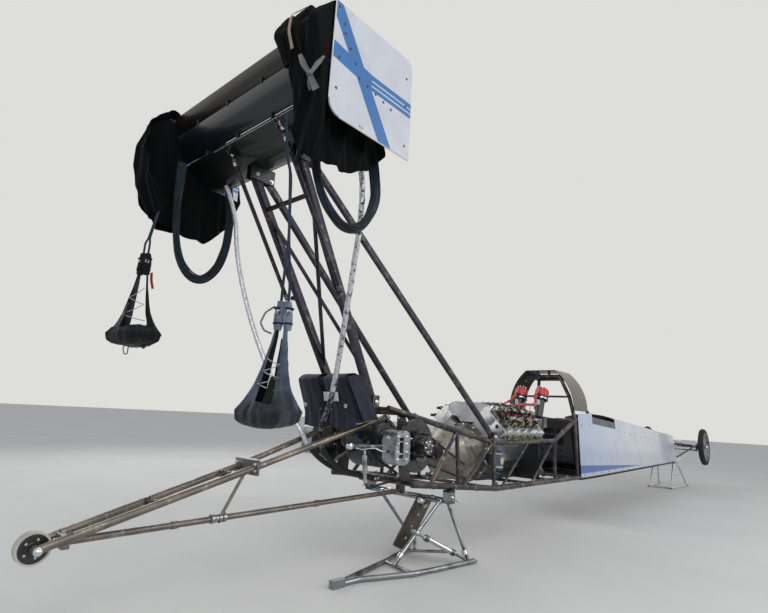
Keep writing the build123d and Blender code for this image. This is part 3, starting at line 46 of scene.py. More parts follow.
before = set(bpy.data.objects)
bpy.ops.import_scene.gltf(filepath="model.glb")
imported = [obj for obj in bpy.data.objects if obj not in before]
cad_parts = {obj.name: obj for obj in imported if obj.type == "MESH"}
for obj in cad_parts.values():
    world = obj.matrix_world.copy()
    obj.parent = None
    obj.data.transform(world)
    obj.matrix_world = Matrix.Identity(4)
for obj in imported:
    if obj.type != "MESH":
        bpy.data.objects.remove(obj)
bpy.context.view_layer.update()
PLATE_CORNER = np.array([-1200.0, -760.0, 2060.0])
SHIFT = np.array(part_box("wing_endplates")[0]) * 1000.0 - PLATE_CORNER
WHEELBASE = 7620.0
AXLE_Z = 690.0
HUB_Z = 625.0
CRANK_Z = 610.0
ENGINE_REAR_X = 1040.0
HUB_NOSE_Y = 440.0
FRONT_WHEEL_Y = 420.0
KINGPIN_Y = 330.0
RIM_R = 209.0
WHEELIE_AXLE = np.array([-1755.0, 0.0, 320.0])
# Up a cylinder bank from the crank: the deck, the middle of the exhaust ports, the head's top, the rockers' plate
DECK = 272.0
PORT_RISE = 316.0
HEAD_TOP = 377.0
ROCKER_PLATE = 377.3
# Across a bank: the head's middle
HEAD_MIDDLE = 12.0
PORTS = [ENGINE_REAR_X + 137.0 + index * 122.0 for index in range(4)]
UP = np.array([0.0, 0.0, 1.0])


def to_frame(points):
    """Millimetres from the rear axle to metres in the shared frame."""
    return (np.asarray(points, float) + SHIFT) / 1000.0


def unit(vectors):
    """Vectors scaled to length one."""
    vectors = np.asarray(vectors, float)
    return vectors / np.maximum(np.linalg.norm(vectors, axis=-1, keepdims=True), 1e-9)


def grid_quads(index):
    """Quads over a grid of vertex numbers."""
    return np.stack([index[:-1, :-1], index[:-1, 1:], index[1:, 1:], index[1:, :-1]], axis=-1).reshape(-1, 4)


def outward(verts, quads, tris):
    """Faces of a closed shell turned so that its signed volume, the sum of a . (b x c) / 6, is positive."""
    fans = np.vstack([quads[:, [0, 1, 2]], quads[:, [0, 2, 3]], tris])
    corners = verts[fans] - verts.mean(axis=0)
    volume = np.einsum("ij,ij->i", corners[:, 0], np.cross(corners[:, 1], corners[:, 2])).sum()
    return (verts, quads, tris) if volume > 0 else (verts, quads[:, ::-1], tris[:, ::-1])


def skin(points):
    """A closed shell over a grid P[i, j]: the last column joins the first, a fan closes each end row."""
    points = np.asarray(points, float)
    rows, cols = points.shape[:2]
    index = np.arange(rows * cols).reshape(rows, cols)
    wide = np.concatenate([index, index[:, :1]], axis=1)
    low, high = rows * cols, rows * cols + 1
    verts = np.vstack([points.reshape(-1, 3), points[0].mean(axis=0), points[-1].mean(axis=0)])
    first = np.stack([np.full(cols, low), wide[0, 1:], wide[0, :-1]], axis=-1)
    last = np.stack([np.full(cols, high), wide[-1, :-1], wide[-1, 1:]], axis=-1)
    return outward(verts, grid_quads(wide), np.vstack([first, last]))


def sheet(points, thickness):
    """Cloth or sheet metal of even thickness t about a grid: faces P +- n t / 2, n from its slopes, and the rim."""
    points = np.asarray(points, float)
    normal = unit(np.cross(np.gradient(points, axis=0), np.gradient(points, axis=1)))
    rows, cols = points.shape[:2]
    top = np.arange(rows * cols).reshape(rows, cols)
    rim = np.r_[top[0, :-1], top[:-1, -1], top[-1, :0:-1], top[:0:-1, 0]]
    turn = np.roll(rim, -1)
    low = rows * cols
    edge = np.stack([rim, turn, turn + low, rim + low], axis=-1)
    quads = np.vstack([grid_quads(top)[:, ::-1], grid_quads(top + low), edge])
    verts = np.vstack([(points + normal * thickness / 2).reshape(-1, 3),
                       (points - normal * thickness / 2).reshape(-1, 3)])
    return outward(verts, quads, np.zeros((0, 3), int))


def joined(surfaces):
    """Several surfaces as one."""
    verts, quads, tris, base = [], [], [], 0
    for points, fours, threes in surfaces:
        verts.append(points)
        quads.append(fours + base)
        tris.append(threes + base)
        base += len(points)
    return np.vstack(verts), np.vstack(quads), np.vstack(tris)


def stamped(surface, places, axes=None):
    """A surface repeated: at places[k], with its x, y, z carried on to axes[k]."""
    verts, quads, tris = surface
    places = np.asarray(places, float).reshape(-1, 3)
    count = len(places)
    axes = np.eye(3)[None] if axes is None else np.asarray(axes, float).reshape(-1, 3, 3)
    axes = np.tile(axes, (count, 1, 1)) if len(axes) == 1 else axes
    out = np.einsum("vk,nkj->nvj", verts, axes) + places[:, None]
    step = (np.arange(count) * len(verts))[:, None, None]
    return out.reshape(-1, 3), (quads + step).reshape(-1, 4), (tris + step).reshape(-1, 3)


def mirrored(surface):
    """The same surface on the car's other side, its faces turned back outwards."""
    verts, quads, tris = surface
    return verts * (1, -1, 1), quads[:, ::-1], tris[:, ::-1]


def both(surface):
    """A right-hand surface and its left-hand mirror."""
    return joined([surface, mirrored(surface)])


def bearings(path, up):
    """Two directions square to a path at each point: n = up x t and b = t x n, with t the tangent."""
    tangent = unit(np.gradient(path, axis=0))
    normal = unit(np.cross(np.broadcast_to(np.asarray(up, float), path.shape), tangent))
    return normal, np.cross(tangent, normal)


def hose(path, radius, sides=10, up=(0.0, 0.0, 1.0)):
    """A round section carried along a path: P = c + r (cos a n + q sin a b). radius may vary along and around."""
    path = np.asarray(path, float)
    normal, binormal = bearings(path, up)
    angle = np.linspace(0, 2 * np.pi, sides, endpoint=False)
    radius = np.asarray(radius, float)
    radius = radius.reshape(-1, 1) if radius.ndim == 1 else radius
    circle = np.cos(angle)[None, :, None] * normal[:, None] + np.sin(angle)[None, :, None] * binormal[:, None]
    return skin(path[:, None] + circle * np.broadcast_to(radius, (len(path), sides))[..., None])


def lathe(profile, origin, axis, sides=24):
    """A profile of (along, radius) pairs turned about an axis: P = o + s a + r (cos t u + sin t v)."""
    profile = np.asarray(profile, float)
    axis = unit(axis)
    path = np.asarray(origin, float) + axis * profile[:, :1]
    side = unit(np.cross(axis, (0, 0, 1) if abs(axis[2]) < 0.9 else (1, 0, 0)))
    other = np.cross(axis, side)
    angle = np.linspace(0, 2 * np.pi, sides, endpoint=False)
    circle = np.cos(angle)[:, None] * side + np.sin(angle)[:, None] * other
    return skin(path[:, None] + circle[None] * profile[:, 1][:, None, None])


def rod(start, end, radius, sides=14):
    """A straight round bar with a small chamfer at each end."""
    start, end = np.asarray(start, float), np.asarray(end, float)
    length = np.linalg.norm(end - start)
    edge = min(radius * 0.2, length * 0.2)
    return lathe([(0, radius - edge), (edge, radius), (length - edge, radius), (length, radius - edge)], start,
                 end - start, sides)


def ring(centre, axis, inner, outer, width, sides=32):
    """A band about an axis, its four edges softened."""
    half, edge = width / 2, min(width, outer - inner) * 0.2
    profile = [(-half + edge, inner), (-half, inner + edge), (-half, outer - edge), (-half + edge, outer),
               (half - edge, outer), (half, outer - edge), (half, inner + edge), (half - edge, inner),
               (-half + edge, inner)]
    verts, quads, _ = lathe(profile, centre, axis, sides)
    return verts, quads, np.zeros((0, 3), int)


def round_box(width, depth, corner, count=5):
    """The outline of a rectangle with rounded corners, about its centre."""
    corner = min(corner, width / 2.001, depth / 2.001)
    angle = (np.arange(4)[:, None] * 90.0 + np.linspace(0, 90, count)) * np.pi / 180.0
    signs = np.array([(1, 1), (-1, 1), (-1, -1), (1, -1)], float)
    middle = signs[:, None] * (width / 2 - corner, depth / 2 - corner)
    return (middle + corner * np.stack([np.cos(angle), np.sin(angle)], axis=-1)).reshape(-1, 2)


def slab(outline, thickness, edge=1.0):
    """A plate of an outline in x, y, its two rims softened: the outline drawn in by the edge at bottom and top."""
    outline = np.asarray(outline, float)
    middle = outline.mean(axis=0)
    reach = np.linalg.norm(outline - middle, axis=1, keepdims=True)
    inner = middle + (outline - middle) * (1 - edge / reach)
    rows = [(inner, 0.0), (outline, edge), (outline, thickness - edge), (inner, thickness)]
    return skin([np.c_[line, np.full(len(line), z)] for line, z in rows])


def brick(centre, size, edge=2.0, axes=None):
    """A block about its centre, with rounded upright corners and softened rims."""
    verts, quads, tris = slab(round_box(size[0], size[1], edge * 2), size[2], edge)
    return stamped((verts - (0, 0, size[2] / 2), quads, tris), [centre], None if axes is None else [axes])


def polygon(radius, sides):
    """The outline of a nut, a washer or a disc."""
    angle = np.arange(sides) * 2 * np.pi / sides
    return radius * np.c_[np.cos(angle), np.sin(angle)]


def axes_to(direction, hint=(0.0, 0.0, 1.0)):
    """Axes whose z lies along a direction."""
    z = unit(direction)
    x = unit(np.cross(hint, z)) if abs(np.dot(unit(hint), z)) < 0.98 else unit(np.cross((1, 0, 0), z))
    return np.array([x, np.cross(z, x), z])


def nuts(places, direction, radius=9.0, height=7.0, hint=(0.0, 0.0, 1.0)):
    """Nuts on washers with stud ends, standing at places along a direction."""
    one = joined([slab(polygon(radius * 1.35, 12), 1.6, 0.4),
                  stamped(slab(polygon(radius, 6), height, radius * 0.12), [(0, 0, 1.5)]),
                  stamped(slab(polygon(radius * 0.5, 8), 3.0, 0.6), [(0, 0, height + 1.4)])])
    return stamped(one, places, [axes_to(direction, hint)])


def circle_of(centre, axis, radius, count, start=0.0):
    """Places evenly round an axis."""
    _, side, other = axes_to(axis)[[2, 0, 1]]
    angle = start + np.arange(count) * 2 * np.pi / count
    return np.asarray(centre, float) + radius * (np.cos(angle)[:, None] * side + np.sin(angle)[:, None] * other)


def resampled(points, count):
    """Points spread evenly along straight runs."""
    points = np.asarray(points, float)
    reach = np.r_[0, np.cumsum(np.linalg.norm(np.diff(points, axis=0), axis=1))]
    at = np.linspace(0, reach[-1], count)
    return np.stack([np.interp(at, reach, points[:, k]) for k in range(points.shape[1])], axis=-1)


def eased(points, count, blur=0.05):
    """A route with softened bends: evenly spread points, averaged over a window, the ends held."""
    line = resampled(points, count)
    width = max(int(count * blur), 1)
    kernel = np.hanning(2 * width + 3)[1:-1]
    padded = np.vstack([2 * line[0] - line[width:0:-1], line, 2 * line[-1] - line[-2:-width - 2:-1]])
    return np.stack([np.convolve(padded[:, k], kernel / kernel.sum(), mode="valid") for k in range(line.shape[1])],
                    axis=-1)


def spanned(lines, knots, rows, passes=4):
    """A grid that passes over several lines in turn, at the given shares of its way, its bends softened."""
    lines, knots = np.asarray(lines, float), np.asarray(knots, float)
    at = np.linspace(0, 1, rows)
    low = np.clip(np.searchsorted(knots, at, "right") - 1, 0, len(knots) - 2)
    share = ((at - knots[low]) / (knots[low + 1] - knots[low]))[:, None, None]
    grid = lines[low] * (1 - share) + lines[low + 1] * share
    for _ in range(passes):
        grid[1:-1] = (grid[:-2] + 2 * grid[1:-1] + grid[2:]) / 4
    return grid


def creases(across, along, seed, pitch=90.0, count=3):
    """Folds of cloth, about -1 to 1: a sum of sines whose crests wander along, the first sharpened to 1 - 2 |sin|,
    each next fainter."""
    dice = np.random.default_rng(seed)
    total, weight = 0.0, 0.0
    for index in range(count):
        turn, phase = dice.uniform(-0.35, 0.35) * (1 + 0.4 * index), dice.uniform(0, 6.28)
        ridge = (across * np.cos(turn) + along * np.sin(turn)) / (pitch / 1.7 ** index) * np.pi
        ridge = ridge + phase + 1.2 * np.sin(0.35 * along / pitch + phase)
        total = total + (1 - 2 * np.abs(np.sin(ridge)) if index == 0 else np.sin(2 * ridge)) / 2.6 ** index
        weight += 1 / 2.6 ** index
    return total / weight


def ribbon(path, width, thickness, facing, hollow=0.0):
    """A strap along a path, broad side to the facing direction: width w(s), its edges raised by hollow times u
    squared."""
    path = np.asarray(path, float)
    tangent = unit(np.gradient(path, axis=0))
    across = unit(np.cross(np.broadcast_to(np.asarray(facing, float), path.shape), tangent))
    out = np.cross(tangent, across)
    half = np.broadcast_to(np.asarray(width, float).reshape(-1, 1, 1) / 2, (len(path), 1, 1))
    share = np.linspace(-1, 1, 7)[None, :, None]
    return sheet(path[:, None] + across[:, None] * share * half + out[:, None] * hollow * share ** 2, thickness)


class Parts(list):
    """The surfaces of one piece, each kept with its finish."""

    def put(self, finish, *surfaces):
        """Adds surfaces of one finish."""
        self.extend((surface, finish) for surface in surfaces)


def linear(hex_colour):
    """An sRGB hex colour as linear red, green, blue and alpha."""
    parts = [int(hex_colour[i:i + 2], 16) / 255.0 for i in (1, 3, 5)]
    return [c / 12.92 if c <= 0.04045 else ((c + 0.055) / 1.055) ** 2.4 for c in parts] + [1.0]


def add(tree, kind, links, out=None, **settings):
    """A shader node: its settings, and its inputs by name or number from a value, a hex colour or an output. Gives
    one output."""
    node = tree.nodes.new("ShaderNode" + kind)
    for key, value in settings.items():
        setattr(node, key, value)
    for key, value in links.items():
        if isinstance(value, bpy.types.NodeSocket):
            tree.links.new(value, node.inputs[key])
        else:
            node.inputs[key].default_value = linear(value) if isinstance(value, str) else value
    return node.outputs[out] if out else next(socket for socket in node.outputs if socket.enabled)


def surfaced(material, colour, rough, height=None, depth=0.0005, strength=0.3, **values):
    """A material's colour, roughness and bump linked in, and the other Principled inputs set directly."""
    tree = material.node_tree
    surface = tree.nodes["Principled BSDF"]
    for key, value in (("Base Color", colour), ("Roughness", rough)):
        if isinstance(value, bpy.types.NodeSocket):
            tree.links.new(value, surface.inputs[key])
        else:
            surface.inputs[key].default_value = value
    for key, value in values.items():
        surface.inputs[key.replace("_", " ").title()].default_value = value
    if height is not None:
        bump = add(tree, "Bump", {"Height": height, "Distance": depth, "Strength": strength}, "Normal")
        tree.links.new(bump, surface.inputs["Normal"])
    return material


def started(name):
    """A new material, its tree and the Object coordinates in it."""
    material = bpy.data.materials.new(name)
    material.use_nodes = True
    return material, material.node_tree, add(material.node_tree, "TexCoord", {}, "Object")


def worn(name, base, dark, patch, limits, rough, grain, depth, strength=0.3, share=1.0, stretch=(1.0, 1.0, 1.0),
         **values):
    """A surface with a second tone in patches (size in metres) where noise passes the limits, and a fine grain
    (metres)."""
    material, tree, place = started(name)
    broad = add(tree, "TexNoise", {"Vector": place, "Scale": 1 / patch, "Detail": 5.0, "Roughness": 0.6})
    soil = add(tree, "MapRange", {0: broad, 1: limits[0], 2: limits[1], 3: 0.0, 4: share})
    turned = add(tree, "Mapping", {"Vector": place, "Scale": stretch})
    fine = add(tree, "TexNoise", {"Vector": turned, "Scale": 1 / grain, "Detail": 2.0})
    sheen = add(tree, "MapRange", {0: fine, 1: 0.3, 2: 0.7, 3: rough[0], 4: rough[1]})
    colour = add(tree, "Mix", {0: soil, 6: base, 7: dark}, data_type="RGBA")
    return surfaced(material, colour, sheen, fine, depth, strength, **values)


def bare_tube(name, dark, tint, bright, low):
    """Alloy steel tube left bare after welding: heat tint in bands of 200 mm, painted highlights in flecks of 40 mm.
    """
    material, tree, place = started(name)
    broad = add(tree, "TexNoise", {"Vector": place, "Scale": 5.0, "Detail": 2.0})
    bands = add(tree, "MapRange", {0: broad, 1: low, 2: low + 0.22})
    # Painted highlights: flecks of the bright colour stand in for light glancing off the tube
    highlight_flecks = add(tree, "TexNoise", {"Vector": place, "Scale": 24.0, "Detail": 5.0})
    rubbed = add(tree, "MapRange", {0: highlight_flecks, 1: 0.56, 2: 0.74, 3: 0.0, 4: 0.6})
    marks = add(tree, "TexNoise", {"Vector": place, "Scale": 120.0, "Detail": 4.0})
    sheen = add(tree, "MapRange", {0: marks, 1: 0.35, 2: 0.7, 3: 0.24, 4: 0.48})
    base = add(tree, "Mix", {0: bands, 6: dark, 7: tint}, data_type="RGBA")
    colour = add(tree, "Mix", {0: rubbed, 6: base, 7: bright}, data_type="RGBA")
    return surfaced(material, colour, sheen, marks, 0.0004, 0.25, metallic=0.75)


def woven(name, base, fold, thread, sheen=0.15, foot=None, specular=0.4):
    """Woven cloth: crossed threads at their spacing in metres, rubbed to a second tone in patches of 80 mm, which on
    the black lines is a painted gleam; foot paints shade, darkening it low down."""
    material, tree, place = started(name)
    waves = [add(tree, "TexWave", {"Vector": place, "Scale": 0.314 / thread, "Distortion": 1.5}, "Fac",
                 bands_direction=way) for way in ("X", "Z")]
    weave = add(tree, "Math", {0: waves[0], 1: waves[1]}, operation="ADD")
    patches = add(tree, "TexNoise", {"Vector": place, "Scale": 12.0, "Detail": 5.0})
    rubbed = add(tree, "MapRange", {0: patches, 1: 0.42, 2: 0.72})
    colour = add(tree, "Mix", {0: rubbed, 6: base, 7: fold}, data_type="RGBA")
    # Painted shade: low on the cloth the colour goes over to the dark tone, as shade falls there
    if foot:
        low, high, dark = foot
        height = add(tree, "SeparateXYZ", {"Vector": place}, "Z")
        uneven = add(tree, "Math", {0: patches, 1: 0.22, 2: height}, operation="MULTIPLY_ADD")
        share = add(tree, "MapRange",
                    {0: uneven, 1: to_frame((0, 0, low))[2] + 0.1, 2: to_frame((0, 0, high))[2] + 0.1})
        colour = add(tree, "Mix", {0: share, 6: dark, 7: colour}, data_type="RGBA")
    material = surfaced(material, colour, 0.85, weave, 0.0005, 0.3, sheen_weight=sheen)
    tree.nodes["Principled BSDF"].inputs["Specular IOR Level"].default_value = specular
    return material


def laminate(name, base, tow, rubbed):
    """Carbon laminate under resin: a twill of 8 mm tows, drawn larger so that it shows, with rubbed and scratched
    places."""
    material, tree, place = started(name)
    turned = add(tree, "Mapping", {"Vector": place, "Rotation": (0.0, math.pi / 4, 0.0)})
    check = add(tree, "TexChecker", {"Vector": turned, "Color1": base, "Color2": tow, "Scale": 110.0})
    streaks = add(tree, "Mapping", {"Vector": place, "Scale": (1.0, 1.0, 0.25)})
    scratches = add(tree, "TexNoise", {"Vector": streaks, "Scale": 36.0, "Detail": 8.0, "Roughness": 0.72})
    marks = add(tree, "MapRange", {0: scratches, 1: 0.54, 2: 0.70, 3: 0.0, 4: rubbed})
    colour = add(tree, "Mix", {0: marks, 6: check, 7: "#a39a83"}, data_type="RGBA")
    sheen = add(tree, "MapRange", {0: scratches, 1: 0.3, 2: 0.7, 3: 0.2, 4: 0.5})
    return surfaced(material, colour, sheen, scratches, 0.0004, 0.2, metallic=0.1, coat_weight=0.35,
                    coat_roughness=0.2)


def plate_enamel(name):
    """White enamel with blue bands on the wing's end plates.

    One band runs down across the plate, where 0.832 x + 0.555 z lies between two limits; one runs level, rising
    to the rear, and two thin lines split its front part. Each step is a Math node: its operation and two inputs."""
    material, tree, place = started(name)
    rear, low = (float(value) for value in to_frame(PLATE_CORNER)[[0, 2]])
    out = {"along": add(tree, "SeparateXYZ", {"Vector": place}, "X"),
           "height": add(tree, "SeparateXYZ", {"Vector": place}, "Z")}
    steps = [("x", "SUBTRACT", "along", rear), ("z", "SUBTRACT", "height", low), ("a", "MULTIPLY", "x", 0.832),
             ("b", "MULTIPLY", "z", 0.555), ("c", "ADD", "a", "b"), ("d", "GREATER_THAN", "c", 0.250),
             ("e", "LESS_THAN", "c", 0.324), ("steep", "MULTIPLY", "d", "e"), ("f", "SUBTRACT", 0.24, "x"),
             ("g", "MAXIMUM", "f", 0.0), ("h", "MULTIPLY", "g", 0.14), ("level", "SUBTRACT", "z", "h")]
    for key, least, most in (("band", 0.222, 0.300), ("upper", 0.268, 0.275), ("lower", 0.243, 0.250)):
        steps += [(key + "1", "GREATER_THAN", "level", least), (key + "2", "LESS_THAN", "level", most),
                  (key, "MULTIPLY", key + "1", key + "2")]
    steps += [("lines", "MAXIMUM", "upper", "lower"), ("front", "GREATER_THAN", "x", 0.24),
              ("split", "MULTIPLY", "lines", "front"), ("kept", "SUBTRACT", 1.0, "split"),
              ("flat", "MULTIPLY", "band", "kept"), ("bands", "MAXIMUM", "steep", "flat")]
    for key, operation, first, second in steps:
        out[key] = add(tree, "Math", {0: out.get(first, first), 1: out.get(second, second)}, operation=operation)
    patches = add(tree, "TexNoise", {"Vector": place, "Scale": 8.0, "Detail": 4.0})
    dull = add(tree, "MapRange", {0: patches, 1: 0.4, 2: 0.8, 3: 0.0, 4: 0.4})
    white = add(tree, "Mix", {0: dull, 6: "#c3c6ce", 7: "#9ca1ac"}, data_type="RGBA")
    blue = add(tree, "Mix", {0: dull, 6: "#1163a6", 7: "#0e5288"}, data_type="RGBA")
    colour = add(tree, "Mix", {0: out["bands"], 6: white, 7: blue}, data_type="RGBA")
    return surfaced(material, colour, 0.25, patches, 0.0003, 0.05, coat_weight=0.6, coat_roughness=0.08)


def body_enamel(name):
    """White enamel going pale blue towards the cockpit, with a blue wedge low on the side that thins out forwards."""
    material, tree, place = started(name)
    along = add(tree, "SeparateXYZ", {"Vector": place}, "X")
    height = add(tree, "SeparateXYZ", {"Vector": place}, "Z")
    start, end = to_frame((2480.0, 0, 0))[0], to_frame((4300.0, 0, 0))[0]
    tip, low = to_frame((5450.0, 0, 0))[0], to_frame((0, 0, 398.0))[2]
    tone = add(tree, "MapRange", {0: along, 1: float(start), 2: float(end)})
    limit = add(tree, "MapRange", {0: along, 1: float(start), 2: float(tip), 3: float(low) + 0.10, 4: float(low)})
    under = add(tree, "Math", {0: height, 1: limit}, operation="LESS_THAN")
    over = add(tree, "Math", {0: height, 1: float(low) + 0.026}, operation="GREATER_THAN")
    wedge = add(tree, "Math", {0: under, 1: over}, operation="MULTIPLY")
    patches = add(tree, "TexNoise", {"Vector": place, "Scale": 6.0, "Detail": 5.0})
    dull = add(tree, "MapRange", {0: patches, 1: 0.45, 2: 0.8, 3: 0.0, 4: 0.5})
    white = add(tree, "Mix", {0: tone, 6: "#a6b6d0", 7: "#c8cdd8"}, data_type="RGBA")
    soiled = add(tree, "Mix", {0: dull, 6: white, 7: "#a2a7b3"}, data_type="RGBA")
    colour = add(tree, "Mix", {0: wedge, 6: soiled, 7: "#2b59a0"}, data_type="RGBA")
    return surfaced(material, colour, 0.3, patches, 0.0004, 0.06, coat_weight=0.6, coat_roughness=0.1)


def oily_parts(name):
    """Valve gear under oil: each part its own tone, bright, brown or black, in cells of 20 mm."""
    material, tree, place = started(name)
    cells = add(tree, "TexVoronoi", {"Vector": place, "Scale": 40.0}, "Color")
    tone = add(tree, "SeparateColor", {"Color": cells}, "Red")
    middle = add(tree, "MapRange", {0: tone, 1: 0.35, 2: 0.6})
    high = add(tree, "MapRange", {0: tone, 1: 0.68, 2: 0.85})
    dark = add(tree, "Mix", {0: middle, 6: "#1c1b19", 7: "#6a655c"}, data_type="RGBA")
    colour = add(tree, "Mix", {0: high, 6: dark, 7: "#cfccc2"}, data_type="RGBA")
    film = add(tree, "TexNoise", {"Vector": place, "Scale": 60.0, "Detail": 4.0})
    sheen = add(tree, "MapRange", {0: film, 1: 0.3, 2: 0.7, 3: 0.15, 4: 0.45})
    return surfaced(material, colour, sheen, film, 0.0004, 0.3, metallic=0.85)


def crushed_foil(name, bright, dark, share):
    """Aluminised glass sleeve crushed by hand: broad facets of 25 mm, scuffed to the dark backing where noise passes
    a share."""
    material, tree, place = started(name)
    cells = add(tree, "TexVoronoi", {"Vector": place, "Scale": 45.0}, feature="DISTANCE_TO_EDGE")
    patches = add(tree, "TexNoise", {"Vector": place, "Scale": 48.0, "Detail": 5.0, "Roughness": 0.65})
    scuffs = add(tree, "MapRange", {0: patches, 1: share, 2: share + 0.1})
    sheen = add(tree, "MapRange", {0: scuffs, 3: 0.6, 4: 0.35})
    colour = add(tree, "Mix", {0: scuffs, 6: dark, 7: bright}, data_type="RGBA")
    return surfaced(material, colour, sheen, cells, 0.004, 0.7, metallic=0.6)


def metal(name, base, dark, rough, soil=(0.5, 0.72), patch=0.06, grain=0.003):
    """Milled or ground metal: cutter marks at the grain's spacing, oil film and grime in patches."""
    return worn(name, base, dark, patch, soil, rough, grain, 0.0002, 0.15, stretch=(1.0, 0.12, 1.0), metallic=0.95)


def enamel(name, base, dull, rough, gloss=0.4, soil=0.5, grain=0.004):
    """Sprayed or moulded: a faint orange peel at the grain's spacing, dulled and dirty in patches of 100 mm."""
    return worn(name, base, dull, 0.1, (0.5, 0.8), (rough, rough + 0.12), grain, 0.0004, 0.12, soil,
                coat_weight=gloss, coat_roughness=0.1)


